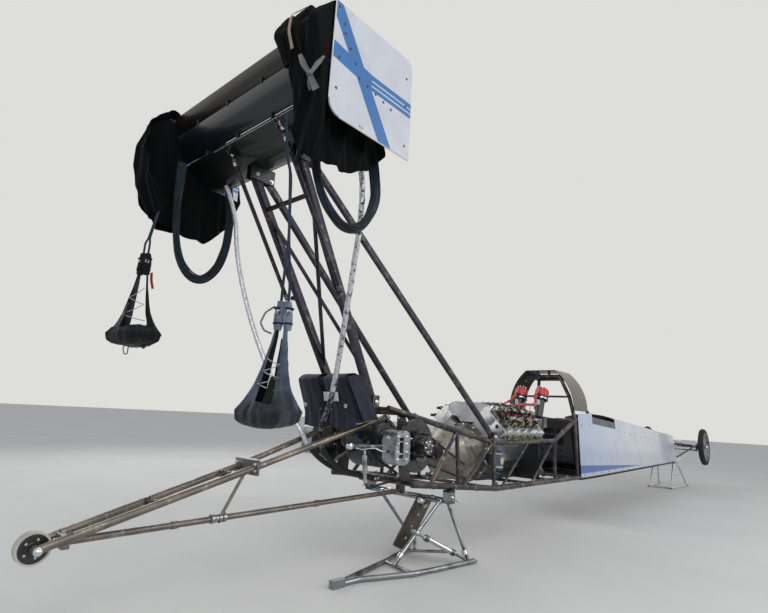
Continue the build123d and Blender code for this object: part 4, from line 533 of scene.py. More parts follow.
FINISHES = {
    # grey alloy tube with brown heat tint and painted pale highlights, as the rear half of the frame
    "bare tube": lambda n: bare_tube(n, "#3d3e45", "#6f6050", "#b09c80", 0.46),
    # the same tube darker and bluer, as the wing's supports
    "strut tube": lambda n: bare_tube(n, "#33323c", "#4b464e", "#857a70", 0.52),
    # brown and tan, with painted bright highlights, as the wheelie bars
    "bar tube": lambda n: bare_tube(n, "#6c6763", "#8c8073", "#bbb3a8", 0.42),
    # billet silver with cutter marks
    "milled aluminium": lambda n: metal(n, "#c9ccd0", "#6a665f", (0.2, 0.36), (0.56, 0.85)),
    # polished flat faces of the heads, nearly white
    "bright plate": lambda n: metal(n, "#f2f4f7", "#c4c7cb", (0.18, 0.3), (0.7, 0.95)),
    # warm grey sheet of the clutch can
    "titanium can": lambda n: metal(n, "#8f8b84", "#3b3833", (0.25, 0.5), grain=0.008),
    # dark steel under an oil film
    "oiled steel": lambda n: metal(n, "#77777a", "#2a2826", (0.2, 0.45), (0.42, 0.65)),
    # bright plated rod ends, bolts and clamps
    "chrome": lambda n: metal(n, "#d3d6da", "#77797d", (0.08, 0.2), (0.6, 0.8)),
    # spun wheel rim
    "polished rim": lambda n: metal(n, "#b9bcc0", "#6f7276", (0.1, 0.3)),
    # silver caliper body, faintly soiled
    "caliper silver": lambda n: metal(n, "#a9adb2", "#56585c", (0.22, 0.42), (0.48, 0.7)),
    # stand tubes whose plating has gone to brown and black
    "worn plating": lambda n: metal(n, "#979a9f", "#57504a", (0.14, 0.32), (0.5, 0.68), 0.14, 0.006),
    # brown-grey flat leg of the stand, rolled and left unpainted
    "mill-finish plate": lambda n: metal(n, "#6b655d", "#4d473f", (0.4, 0.55), (0.4, 0.7), 0.15),
    # golden and green studs of the exhaust flanges
    "gold studs": lambda n: metal(n, "#b89a4e", "#3f6a4c", (0.2, 0.4), (0.42, 0.55), 0.02),
    # dark oily valve gear with a few bright and brown parts
    "valve gear steel": oily_parts,
    # black anodised and cast parts, rubbed grey in places
    "black anodised": lambda n: enamel(n, "#15161a", "#34353a", 0.32, 0.2, 0.7),
    # plain white paint of nose tubes and trims, greyed; also the painted light line at the wing's main slot
    "white enamel and painted slot light": lambda n: enamel(n, "#d0d2d4", "#9a9c9e", 0.25),
    # blank white label, matt
    "label white": lambda n: enamel(n, "#c9cbd2", "#9b9da6", 0.5, 0.0),
    # blank aged label on the canister
    "cream label": lambda n: enamel(n, "#b3a58f", "#87786a", 0.5, 0.0),
    # glossy white end plates with their blue bands
    "plate enamel": plate_enamel,
    # glossy white panels that go pale blue behind, with a blue wedge
    "body enamel": body_enamel,
    # plain sheet of the cockpit sides
    "satin sheet": lambda n: metal(n, "#6f7780", "#3e444b", (0.35, 0.5)),
    # olive-grey laminate, scratched
    "cowl laminate": lambda n: laminate(n, "#35332a", "#5a5646", 0.6),
    # near-black laminate with a faint twill
    "dark laminate": lambda n: laminate(n, "#15161a", "#22242a", 0.15),
    # lacquered black wing element with soft grey reflections
    "wing gloss": lambda n: enamel(n, "#0b0c0e", "#181b20", 0.34, 0.25, 0.6),
    # the middle flap's black lacquer with a painted blue reflection, bluer than the main plane
    "wing blue-black": lambda n: enamel(n, "#0f141d", "#1a2431", 0.26, 0.4, 0.6),
    # the top flap's black lacquer with a painted warm reflection, warmer and browner
    "wing brown-black": lambda n: enamel(n, "#1a1611", "#2a241c", 0.32, 0.3, 0.6),
    # red caps, leads and boots
    "red moulding": lambda n: enamel(n, "#c01214", "#8a0c0d", 0.3, 0.5),
    # matt black rubber, dusty
    "tyre rubber": lambda n: enamel(n, "#0f0f10", "#242424", 0.7, 0.0, 0.6, 0.002),
    # yellowed white plastic of the small wheel
    "pale moulding": lambda n: enamel(n, "#bcbab0", "#7d7a70", 0.5, 0.1, 0.7),
    # dull black hose and rubber pads
    "rubber hose": lambda n: enamel(n, "#101114", "#25272b", 0.5, 0.0),
    # grey braid with dark gaps
    "braided hose": lambda n: metal(n, "#8b8f94", "#3a3b3d", (0.3, 0.5), (0.4, 0.6), grain=0.002),
    # blue pipe unions
    "blue anodised": lambda n: metal(n, "#2c4f82", "#1b3357", (0.25, 0.4)),
    # grey-blue painted canister
    "slate enamel": lambda n: enamel(n, "#3d4a58", "#28303a", 0.35, 0.3),
    # dark blue-grey straps of the bags
    "strap nylon": lambda n: woven(n, "#16222e", "#24364a", 0.002),
    # cloth that swallows the light, with hardly any sheen
    "black cloth": lambda n: woven(n, "#020304", "#05070a", 0.003, 0.02, None, 0.12),
    # faded tan strap
    "tan webbing": lambda n: woven(n, "#a08c76", "#7d6a58", 0.002),
    # grey webbing of bow and belts
    "grey webbing": lambda n: woven(n, "#6d6c72", "#4c4c52", 0.002),
    # dark navy covers of the packs
    "navy nylon": lambda n: woven(n, "#121624", "#1f253b", 0.003),
    # slate-blue bag, with painted shade darkening it towards its foot
    "blue nylon with painted shade low": lambda n: woven(n, "#27323f", "#47576a", 0.003, 0.15, (800.0, 940.0, "#090b0f")),
    # black bag and linings with grey rubbed folds
    "black nylon": lambda n: woven(n, "#07090d", "#161b23", 0.003, 0.06, None, 0.25),
    # dark grey lining of the left bag
    "dark grey nylon": lambda n: woven(n, "#20252c", "#39414b", 0.003),
    # pale grey wraps of the right bag's necks
    "grey nylon": lambda n: woven(n, "#566272", "#8794a3", 0.003),
    # black lines with a cold blue gleam
    "black line": lambda n: woven(n, "#06121b", "#0e2f40", 0.002),
    # pale laces across the bags' mouths
    "white lace": lambda n: woven(n, "#b4b8bc", "#83878c", 0.002),
    # bright crushed foil, grey in its dents
    "foil sleeve": lambda n: crushed_foil(n, "#d2d6db", "#6c6f74", 0.30),
    # crushed foil rubbed through to black in spots
    "silvered sleeve": lambda n: crushed_foil(n, "#c8ccd0", "#26262a", 0.38),
    # foil mostly rubbed through, with grey left
    "scuffed sleeve": lambda n: crushed_foil(n, "#8a8d90", "#1a1a1d", 0.48),
    # red pull tag
    "red webbing": lambda n: woven(n, "#8f1420", "#b02230", 0.002),
}
coats = {}


def coat(name):
    """The finish of that name, made when it is first asked for."""
    if name not in coats:
        coats[name] = FINISHES[name](name.replace(" ", "_").replace("-", "_"))
    return coats[name]


def piece(name, parts, body="chassis", replaces=(), sharp=38.0):
    """One object of surfaces in millimetres, given as (surface, finish) pairs, riding on a body."""
    surfaces = [surface for surface, _ in parts]
    names = list(dict.fromkeys(finish for _, finish in parts))
    verts, quads, tris = joined(surfaces)
    marks = [names.index(finish) for _, finish in parts]
    quad_marks = np.concatenate([np.full(len(s[1]), m) for s, m in zip(surfaces, marks)])
    tri_marks = np.concatenate([np.full(len(s[2]), m) for s, m in zip(surfaces, marks)])
    mesh = bpy.data.meshes.new(name)
    mesh.vertices.add(len(verts))
    mesh.vertices.foreach_set("co", to_frame(verts).ravel())
    mesh.loops.add(quads.size + tris.size)
    mesh.loops.foreach_set("vertex_index", np.r_[quads.ravel(), tris.ravel()].astype(np.int32))
    mesh.polygons.add(len(quads) + len(tris))
    starts = np.r_[np.arange(len(quads)) * 4, quads.size + np.arange(len(tris)) * 3]
    mesh.polygons.foreach_set("loop_start", starts.astype(np.int32))
    mesh.polygons.foreach_set("material_index", np.r_[quad_marks, tri_marks].astype(np.int32))
    mesh.update(calc_edges=True)
    mesh.validate()
    mesh.polygons.foreach_set("use_smooth", np.ones(len(mesh.polygons), bool))
    mesh.set_sharp_from_angle(angle=math.radians(sharp))
    for finish in names:
        mesh.materials.append(coat(finish))
    item = bpy.data.objects.new(name, mesh)
    bpy.context.scene.collection.objects.link(item)
    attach(item, body)
    if replaces:
        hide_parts(*replaces)
    return item


def spline_points(points, resolution=20):
    """Points of the smooth NURBS line of order 3 that has these control points, in millimetres."""
    data = bpy.data.curves.new("route", "CURVE")
    data.dimensions = "3D"
    data.resolution_u = resolution
    line = data.splines.new("NURBS")
    line.points.add(len(points) - 1)
    line.points.foreach_set("co", np.c_[to_frame(points), np.ones(len(points))].ravel())
    line.order_u = 3
    line.use_endpoint_u = True
    holder = bpy.data.objects.new("route", data)
    mesh = bpy.data.meshes.new_from_object(holder)
    read = np.empty(len(mesh.vertices) * 3)
    mesh.vertices.foreach_get("co", read)
    bpy.data.objects.remove(holder)
    bpy.data.curves.remove(data)
    bpy.data.meshes.remove(mesh)
    return read.reshape(-1, 3) * 1000.0 - SHIFT


# The slack lines' and tethers' control points, x, y, z, as the frame's own tubes follow them
LINES_RIGHT = [(-1067, -525, 2010), (-1058, -542, 1905), (-1035, -562, 1800), (-985, -582, 1715), (-910, -595, 1672),
               (-830, -600, 1695), (-765, -598, 1770), (-722, -592, 1865), (-716, -588, 1965), (-750, -592, 2085),
               (-826, -604, 2225.0)]
LINES_LEFT = [(-1172, 570, 2245), (-1166, 580, 2140), (-1160, 588, 2050), (-1150, 595, 1950), (-1138, 605, 1840),
              (-1108, 620, 1735), (-1050, 635, 1645), (-970, 645, 1592), (-885, 650, 1612), (-825, 645, 1695),
              (-798, 635, 1795), (-788, 622, 1900), (-792, 612, 2060), (-832, 612, 2225.7)]
TETHER_RIGHT = [(-882, -566, 2209.4), (-782, -556, 2045), (-748, -535, 1800), (-715, -470, 1560), (-665, -385, 1320),
                (-600, -285, 1100), (-535, -180, 900), (-490, -60, 760), (-440, -35, 640), (-330, -30, 560),
                (-180, -35, 505), (-34, -45, 480)]
TETHER_LEFT = [(-886, 552, 2209.4), (-796, 546, 2045), (-775, 525, 1800), (-745, 455, 1560), (-700, 370, 1320),
               (-645, 275, 1100), (-585, 180, 900), (-545, 62, 770), (-470, 38, 650), (-350, 32, 565),
               (-190, 38, 508), (-34, 45, 480)]
LINE_BUNDLE_R = 30.0
STRAND_R = 4.0
# How far from the bundle's middle a line's own middle may lie, and the turn from one line to the next
STRAND_REACH = LINE_BUNDLE_R - 4.2
GOLDEN_ANGLE = 2.39996
CORE_SHARE = 0.6
TETHER_R = 15.0
# Shares of a tether's way: where its sleeve's lower half and where its ribbed hose begin
LOWER_FROM = 0.52
HOSE_FROM = 0.74


def declared(path):
    """Works out a path in millimetres as metres in the shared frame; nothing is kept."""
    metres = to_frame(path)


def line_bundle(name, node, points, strands):
    """Slack lines side by side: each keeps its own place in the bundle's round section and wanders a little in it.

    Centre of a line: c(s) + rho (cos(p + w(s)) n + sin(p + w(s)) b), with rho pulsing slowly. A round core of the
    same black closes the gaps between them."""
    path = spline_points(points)
    share = np.linspace(0, 1, len(path))
    normal, binormal = bearings(path, (0.0, 1.0, 0.0))
    parts = Parts()
    for index in range(strands):
        spread = STRAND_REACH * (0.55 + 0.45 * math.sqrt((index + 0.5) / strands))
        phase = index * GOLDEN_ANGLE
        swing = phase + 0.9 * np.sin(share * 5.0 + phase) * np.sin(share * np.pi)
        rho = spread * (0.72 + 0.28 * np.cos(share * 9.0 + 2 * phase))
        centre = path + rho[:, None] * (np.cos(swing)[:, None] * normal + np.sin(swing)[:, None] * binormal)
        parts.put("black line", hose(centre, STRAND_R, 7, (0.0, 1.0, 0.0)))
    parts.put("black line", hose(path, LINE_BUNDLE_R * CORE_SHARE, 9, (0.0, 1.0, 0.0)))
    item = piece(name, parts, replaces=(node,), sharp=80.0)
    declared(path)


def tether(name, node, points, upper_finish, lower_finish):
    """A tether in a crumpled sleeve: r(s, a) = R (1 - d), with d from crossed waves along and around. Its foot is a
    ribbed hose."""
    path = spline_points(points, 40)
    share = np.linspace(0, 1, len(path))[:, None]
    angle = np.linspace(0, 2 * np.pi, 18, endpoint=False)[None]
    length = np.linalg.norm(np.diff(path, axis=0), axis=1).sum()
    wave = np.sin(share * length / 17.0 + angle) * np.sin(share * length / 41.0 - 2 * angle)
    dent = 0.06 + 0.06 * wave + 0.04 * np.sin(share * length / 8.0 + 3 * angle + 3 * np.sin(share * 40))
    ribs = 0.06 + 0.06 * np.cos(share * length / 7.0 * 2 * np.pi) + 0 * angle
    foot = share > HOSE_FROM
    radius = TETHER_R * (1 - np.where(foot, ribs, dent))
    marks = [0, int(len(path) * LOWER_FROM), int(len(path) * HOSE_FROM), len(path) - 1]
    finishes = [upper_finish, lower_finish, "rubber hose"]
    parts = [(hose(path[a:b + 1], radius[a:b + 1], 18, (1.0, 0.0, 0.0)), f)
             for a, b, f in zip(marks, marks[1:], finishes)]
    item = piece(name, parts, replaces=(node,), sharp=60.0)
    declared(path)


# Routes of the cloth over the wing ends, seen from the side: front hem, over the top flap, rear hem
DRAPE_FRONT = [(-765, 2212), (-765, 2268), (-792, 2312), (-1135, 2512.9), (-1199.2, 2598.5)]
DRAPE_REAR = {-1: [(-1295, 2470), (-1255, 2300), (-1225, 2100), (-1195, 1865)],
              1: [(-1330, 2475), (-1375, 2300), (-1350, 2080), (-1240, 1905)]}
DRAPE_INNER = {-1: ((0.2, 0.4, 0.7, 1.0), (500.0, 468.0, 486.0, 550.0, 560.0, 596.0)),
               1: ((0.2, 0.4, 0.7, 1.0), (700.0, 690.0, 668.0, 620.0, 540.0, 430.0))}
CURTAIN_Y = {-1: 656.0, 1: 694.0}
CLOTH_EDGE_Y = 744.0
PLATE_REAR_X = -1207.0
CLOTH_THICK = 3.0
# Metres of cloth from hem to hem, the way over the wing
CURTAIN_LOW = {-1: [(-1195, 1865), (-1080, 1888), (-960, 1905), (-860, 1950), (-765, 2075)],
               1: [(-1240, 1905), (-1100, 1868), (-900, 1850), (-800, 1950), (-765, 2053)]}
CURTAIN_UNDER = [(-1190, 2522), (-1172, 2480), (-1142, 2388), (-1092, 2302), (-1022, 2236), (-935, 2206),
                 (-762, 2205)]
FLAP_LOW = [(-1345, 2180), (-1300, 1990), (-1175, 1872), (-1010, 1896), (-865, 1876), (-690, 2040), (-640, 2230)]


def over_wing(side, depth):
    """The cloth from the front hem over the flaps to the rear hem: its route pushed outwards by folds.

    P(s, y) = route(s) + n (f(y, s) A(s) + B exp(-(s - crest)^2) exp(-u^2) - 3), A from 4 mm where it lies to the fold
    depth at the rear hem, B the bunched shoulder. Past its outer edge the rear fall curves forward to the plate."""
    rows, cols, back = 170, 84, 16
    path = eased(DRAPE_FRONT + DRAPE_REAR[side], rows, 0.008)
    reach = np.r_[0, np.cumsum(np.linalg.norm(np.diff(path, axis=0), axis=1))]
    crest, end = reach[np.argmax(path[:, 1])], reach[-1]
    share, across = np.meshgrid(np.linspace(0, 1, rows), np.linspace(0, 1, cols), indexing="ij")
    at = share * end * (1 - 0.012 * (1 + np.sin(across * 9.0 + side)))
    knots, inner_y = DRAPE_INNER[side]
    inner = np.interp(at, [0, crest, *(crest + np.array(knots) * (end - crest))], inner_y)
    x, z = np.interp(at, reach, path[:, 0]), np.interp(at, reach, path[:, 1])
    slope = unit(np.gradient(path, axis=0))
    nx, nz = np.interp(at, reach, slope[:, 1]), np.interp(at, reach, -slope[:, 0])
    deep = np.interp(at, [0, crest - 60, crest, crest + 180, end], [4, 5, 14, 0.8 * depth, depth])
    y = inner + (CLOTH_EDGE_Y - inner) * across
    fold = creases(y, at, 11 + side, 104.0)
    bunch = 30.0 * np.exp(-((at - crest - 40) / 130.0) ** 2) * np.exp(-(across / 0.34) ** 2) * (
        1 + 0.3 * creases(y, at, 17, 60.0))
    lift = deep * (0.5 + 0.5 * fold) * np.minimum(1, (1 - across) * 12 + 0.25) + bunch - 3.0
    waver = 0.3 * deep * np.sin(at / 70.0 + side) * (1 - across)
    grid = np.stack([x + nx * lift, y + waver, z + nz * lift], axis=-1)
    turn = np.linspace(0, 1, back + 1)[1:]
    forward = np.maximum(PLATE_REAR_X - grid[:, -1, 0], 0)[:, None] * np.sin(turn * np.pi / 2) ** 1.5
    side_y = grid[:, -1, 1][:, None] + 3.0 * turn + np.minimum(forward, 14) * 0.02
    wrap = np.stack([grid[:, -1:, 0] + forward, side_y, np.repeat(grid[:, -1:, 2], back, 1)], axis=-1)
    return np.concatenate([grid, wrap], axis=1) * (1, side, 1)


def curtain(side, depth):
    """The cloth's side hanging inside the endplate: spanned from its hem up to the wing's underside, folds outwards
    only."""
    rows, cols = 80, 96
    rear = DRAPE_REAR[side]
    front = [(-700, 2150), (-690, 2190)] if side > 0 else []
    lower = resampled(CURTAIN_LOW[side] + front[:1], cols)
    upper = resampled([rear[0], (-1232, 2555)] + CURTAIN_UNDER + front[1:], cols)
    middle = (lower + upper) / 2
    middle[:, 0] += np.linspace(1, 0, cols) ** 2 * (min(rear[1][0], rear[2][0]) + 8 - middle[0, 0])
    flat = spanned([np.c_[a[:, 0], 0 * a[:, 0], a[:, 1]] for a in (lower, middle, upper)], [0, 0.5, 1], rows, 6)
    fall = np.linspace(1, 0, rows)[:, None]
    fold = creases(flat[..., 0], flat[..., 2], 37 + side, 120.0)
    out = CURTAIN_Y[side] + (0.12 + 0.88 * fall) * depth * (0.5 + 0.5 * fold)
    drop = 9 * fall ** 6 * np.sin(flat[..., 0] / 38.0)
    return np.stack([flat[..., 0], side * out, flat[..., 2] + drop], axis=-1)


def outer_flap(depth):
    """The left cloth's outside: from the flaps' ends up over the endplate and down outside it to a gathered hem."""
    rows, cols = 110, 110
    profile = [(-1199, 2598), (-1135, 2513), (-792, 2312), (-765, 2268)]
    top = [(-1195, 2601), (-742, 2601)]
    brow = [(-1330, 2475), (-1100, 2490), (-860, 2490), (-690, 2480)]
    inner_y, outer_y = 741.0, 768.0
    lines = [np.insert(resampled(route, cols), 1, y, axis=1) for route, y in (
        (profile, inner_y), (top, inner_y), (top, outer_y), (brow, outer_y), (FLAP_LOW, outer_y))]
    grid = spanned(lines, [0, 0.24, 0.29, 0.42, 1], rows, 3)
    fall = np.clip((np.linspace(0, 1, rows)[:, None] - 0.32) / 0.68, 0, 1)
    fold = creases(grid[..., 0], grid[..., 2], 53, 130.0)
    grid[..., 1] += fall * depth * (0.5 + 0.5 * fold)
    grid[..., 2] += 8 * fall ** 6 * np.sin(grid[..., 0] / 41.0)
    return grid


def roll(points, radius, seed, pitch=46.0):
    """A bunched roll of cloth: r(s, a) = R(s) (1 + 0.24 f), thin at both ends, with folds f that wind along it."""
    rows, sides = 70, 28
    path = eased(points, rows, 0.08)
    share = np.linspace(0, 1, rows)[:, None]
    angle = np.linspace(0, 2 * np.pi, sides, endpoint=False)[None]
    length = np.linalg.norm(np.diff(path, axis=0), axis=1).sum()
    fold = creases(angle * 40 + 0 * share, share * length + 0 * angle, seed, pitch, 4)
    return hose(path, radius * (0.35 + 0.65 * np.sin(np.pi * share) ** 0.5) * (1 + 0.24 * fold), sides,
                (0.0, 1.0, 0.0))


def area_of(points):
    """The area of a grid in square metres: the sum of |a x b| / 2 over its triangles."""
    a, b, c, d = points[:-1, :-1], points[:-1, 1:], points[1:, 1:], points[1:, :-1]
    halves = np.linalg.norm(np.cross(b - a, c - a), axis=-1) + np.linalg.norm(np.cross(c - a, d - a), axis=-1)
    return float(halves.sum() / 2 / 1e6)


def wing_cloth(side, depth):
    """The black cloth on one wing end, as sheets of 3 mm with rolls and straps."""
    grids = [over_wing(side, depth), curtain(side, depth * 1.4)]
    if side == 1:
        grids.append(outer_flap(depth * 1.3))
    name = "wing_cloth_left" if side == 1 else "wing_cloth_right"
    node = "wing_drape_left" if side == 1 else "wing_drape_right"
    sheets = [(sheet(grid, CLOTH_THICK), "black cloth") for grid in grids]
    cloth = piece(name, sheets, replaces=(node,), sharp=75.0)
    if side == -1:
        rope = [(-1130, -600, 2545), (-1216, -606, 2628), (-1296, -612, 2500), (-1290, -628, 2410),
                (-1286, -652, 2330)]
        edge = [(-1135, -478, 2545), (-1214, -476, 2630), (-1296, -490, 2500), (-1292, -520, 2410),
                (-1274, -548, 2310)]
        parts = [(roll(rope, 15.0, 4, 60.0), "black cloth"), (roll(edge, 24.0, 5, 70.0), "black cloth")]
        piece(name + "_rolls", parts, sharp=75.0)
        strap = eased(
            [(-1180, -585, 2620), (-1221, -588, 2640), (-1312, -592, 2528), (-1322, -598, 2440), (-1300, -606, 2360)],
            40, 0.08)
        first = eased(
            [(-1292, -655, 2312), (-1290, -685, 2252), (-1284, -722, 2196), (-1274, -738, 2152), (-1260, -744, 2128)],
            30, 0.06)
        second = eased(
            [(-1244, -752, 2290), (-1268, -744, 2244), (-1284, -724, 2198), (-1278, -722, 2160), (-1268, -728, 2132)],
            30, 0.06)
        wide = np.interp(np.linspace(0, 1, 30), [0, 0.25, 0.6, 1], [13, 26, 17, 30])
        parts = [(ribbon(strap, 15.0, 2.5, (-1.0, 0.0, 0.6)), "tan webbing"),
                 (ribbon(first, wide, 2.5, (-1.0, -0.4, 0.2), 4.0), "grey webbing"),
                 (ribbon(second, wide, 2.5, (-1.0, -0.6, 0.2), -4.0), "grey webbing"),
                 (brick((-1286, -722, 2197), (20, 24, 22), 5.0), "grey webbing")]
        piece("wing_cloth_straps", parts, sharp=60.0)
    area = sum(area_of(grid) for grid in grids)


def curved(start, middle, end, count=26):
    """A parabola through a start, towards a middle point and to an end: (1 - t)^2 a + 2 t (1 - t) b + t^2 c."""
    share = np.linspace(0, 1, count)[:, None]
    start, middle, end = (np.asarray(point, float) for point in (start, middle, end))
    return (1 - share) ** 2 * start + 2 * share * (1 - share) * middle + share ** 2 * end


# Where a bag's neck starts, as a share of its height, and how its section shrinks up to there
NECK_RISE = 0.92
BAG_RISES = [0, 0.015, 0.05, 0.13, 0.2, 0.34, 0.5, 0.67, 0.86, NECK_RISE]
BAG_SECTIONS = [0.5, 0.74, 0.93, 1.0, 0.82, 0.57, 0.42, 0.3, 0.2, 0.17]


def bag_point(bag, angle, rise):
    """A place on a slack bag's wall: its section shrinks from the pouch to the neck and leans, G(t) times the half
    sizes."""
    grow = np.interp(rise, BAG_RISES, BAG_SECTIONS)
    cos, sin = np.cos(angle), np.sin(angle)
    px = bag["x"] + bag["lean"] * np.clip(rise / NECK_RISE, 0, 1)
    px = px + bag["depth"] / 2 * grow * np.sign(cos) * np.abs(cos) ** 0.72
    py = bag["y"] + bag["width"] / 2 * grow * np.sign(sin) * np.abs(sin) ** 0.72
    corner = np.cos(angle - bag["long"]) ** 4
    lift = bag["height"] * (0.02 * corner - 0.02) * np.exp(-(rise / 0.3) ** 2)
    return np.stack(np.broadcast_arrays(px, py, bag["low"] + 6 + bag["height"] * rise + lift), axis=-1)


def sling(bag, flaps, rim, scale, seed):
    """The bag's cloth as one closed wall: its rim h(a) rises into flat-topped flaps exp(-((a - a0) / w)^6).

    P(s, a) is the wall's place at rise s h(a), swollen by creases; the inner face lies 2.6 mm inside it."""
    rows, cols = 54, 200
    share, angle = np.meshgrid(np.linspace(0.0, 1, rows), np.linspace(0, 2 * np.pi, cols, endpoint=False),
                               indexing="ij")
    peak = np.zeros_like(angle)
    for middle, half, top in flaps:
        away = np.abs((angle - math.radians(middle) + np.pi) % (2 * np.pi) - np.pi) / math.radians(half)
        peak = np.maximum(peak, top * np.exp(-away ** 6))
    top = rim + (NECK_RISE - rim) * peak + 0.012 * np.sin(3 * angle + seed)
    rise = share ** 1.1 * top
    lean = bag["lean"] * np.clip(rise / NECK_RISE, 0, 1)
    centre = np.array([bag["x"], bag["y"], 0.0]) + lean[..., None] * (1, 0, 0)
    place = bag_point(bag, angle, rise)
    fold = 0.065 * creases(angle * 110, rise * 420, seed, 62.0, 4) + 0.03 * np.sin(angle * 7 + rise * 9)
    spread = (scale + fold)[..., None] * (1, 1, 0) + (0, 0, 1)
    outer = centre * (1, 1, 0) + (place - centre * (1, 1, 0)) * spread
    slope = np.cross(np.gradient(outer, axis=0), np.roll(outer, -1, 1) - np.roll(outer, 1, 1))
    inner = outer + unit(slope) * 2.6
    return skin(np.concatenate([outer, inner[::-1]]))


def dressed_bag(bag, straps, cloth, lining, neck_cloth, laces):
    """A slack sling bag: wall and lining, two wrapped necks with buckles, laces across its mouth and a double
    strap."""
    parts = Parts()
    parts.put(cloth, sling(bag, bag["flaps"], 0.20, 1.0, bag["seed"]))
    parts.put(lining, sling(bag, bag["far_flaps"], 0.17, 0.93, bag["seed"] + 7))
    middle = np.array([bag["x"] + bag["lean"], bag["y"], bag["low"] + bag["height"]])
    across = np.array([math.cos(bag["long"]), math.sin(bag["long"]), 0.0])
    tall = bag["height"] * 0.12
    rows, sides = 26, 30
    for way in (-1, 1):
        centre = middle + across * 21 * way
        share, angle = np.meshgrid(np.linspace(0, 1, rows), np.linspace(0, 2 * np.pi, sides, endpoint=False),
                                   indexing="ij")
        drop = np.linspace(-tall * 1.2, tall, rows)[:, None] * UP
        path = centre + np.linspace(0, 1, rows)[:, None] * (-across * 8 * way) + drop
        radius = (15 + 5 * np.sin(np.pi * share)) * (1 + 0.16 * creases(angle * 26, share * 110, 71 + way, 30.0, 3))
        parts.put(neck_cloth, hose(path, radius, sides, (1.0, 0.0, 0.0)))
        parts.put("black nylon", *[ring(centre + (0, 0, dz), UP, 14, 20.5, 7.0, 24)
                                   for dz in (-tall * 0.7, tall * 0.45)])
        parts.put("worn plating", brick(centre + (-12, -17, 6), (22, 6, 18), 1.6))
        parts.put("black anodised", brick(centre + (-13, -20, 6), (12, 5, 9), 1.2))
    for way, route in straps:
        first = middle + across * 15 * way + (0, 0, tall * 0.8)
        path = eased([tuple(first), tuple(first + (0, 0, bag["height"] * 0.16))] + route, 60, 0.06)
        parts.put("strap nylon", ribbon(path, 11.0, 3.0, (-1.0, -0.8, 0.0), 1.0))
    for start, end, low, high, rungs, tint in laces:
        rises = np.linspace(low, high, rungs)
        ends = bag_point(bag, np.radians(np.where(np.arange(rungs) % 2, start, end)), rises)
        for first, second in zip(ends, ends[1:]):
            run = curved(first, (first + second) / 2 - (0, 0, 8), second, 10)
            parts.put(tint, hose(run, 2.0, 6, (1.0, 0.0, 0.0)))
    return parts


def make_bags():
    """Both parachute bags, as slack padded pieces."""
    bag = {"x": -1200.0, "y": -545.0, "low": 780.0, "height": 450.0, "width": 262.0, "depth": 210.0, "lean": 35.0,
           "long": math.radians(128.0), "seed": 61, "flaps": ((150, 27, 1.0), (276, 34, 1.0)),
           "far_flaps": ((96, 22, 1.0), (20, 26, 0.8), (222, 14, 0.35))}
    straps = [(1, [(-1182, -552, 1560), (-1204, -556, 1830), (-1238, -560, 1900), (-1264, -562, 2090)]),
              (-1, [(-1172, -540, 1560), (-1192, -532, 1840), (-1196, -530, 1875)])]
    laces = ((172, 250, 0.30, 0.58, 6, "white lace"), (298, 340, 0.34, 0.74, 7, "black line"))
    loop = eased(
        [(-1192, -520, 1262), (-1218, -494, 1235), (-1232, -486, 1190), (-1216, -494, 1160), (-1190, -510, 1150)], 40,
        0.06)
    parts = dressed_bag(bag, straps, "blue nylon with painted shade low", "black nylon", "grey nylon", laces)
    parts.put("grey nylon", hose(loop, 4.0, 8))
    piece("bag_right", parts, replaces=("chute_bag_right",), sharp=70.0)
    bag = {"x": -1295.0, "y": 575.0, "low": 1140.0, "height": 455.0, "width": 366.0, "depth": 205.0, "lean": 0.0,
           "long": math.radians(117.0), "seed": 83, "flaps": ((122, 20, 1.0), (296, 20, 1.0)),
           "far_flaps": ((98, 16, 1.0), (325, 18, 0.9), (155, 20, 0.45))}
    straps = [(1, [(-1292, 582, 1740), (-1264, 580, 1905)]), (-1, [(-1290, 568, 1740), (-1262, 570, 1910)])]
    parts = dressed_bag(bag, straps, "black nylon", "dark grey nylon", "black nylon",
                        ((150, 268, 0.26, 0.66, 5, "white lace"),))
    tag = eased([(-1262, 545, 1545), (-1260, 538, 1500), (-1250, 528, 1455)], 12, 0.1)
    cord = eased([(-1330, 560, 1150), (-1345, 552, 1118), (-1340, 540, 1088), (-1322, 545, 1092), (-1318, 556, 1148)],
                 40, 0.06)
    parts.put("red webbing", ribbon(tag, 13.0, 3.0, (-1.0, -0.9, 0.0)))
    parts.put("grey webbing", hose(cord, 3.0, 8, (0.0, 1.0, 0.0)))
    parts.put("black anodised",
              lathe([(0, 3), (4, 11), (14, 13), (22, 8), (26, 2)], (-1262, 505, 1150), -UP, 14))
    piece("bag_left", parts, replaces=("chute_bag_left",), sharp=70.0)


PACK_BASE = np.array([-243.4, 0.0, 812.5])
PACK_MIDDLE_Y = 112.0
PACK_HEIGHT = 284.0
PACK_OUTLINE = (150.0, 176.0, 34.0)
PACK_RISE = unit((-142.0, 0.0, 245.0))
PACK_BACK = unit((-145.0, 0.0, -35.0))


def pack_point(side, rise, across, back):
    """A place on a parachute pack: up its lean, across it and out of its back, from the middle of its foot."""
    rise, across, back = np.broadcast_arrays(rise, across, back)
    middle = PACK_BASE + (0, side * PACK_MIDDLE_Y, 0)
    spread = across[..., None] * np.array([0, 1.0, 0]) + back[..., None] * PACK_BACK
    return middle + rise[..., None] * PACK_RISE + spread


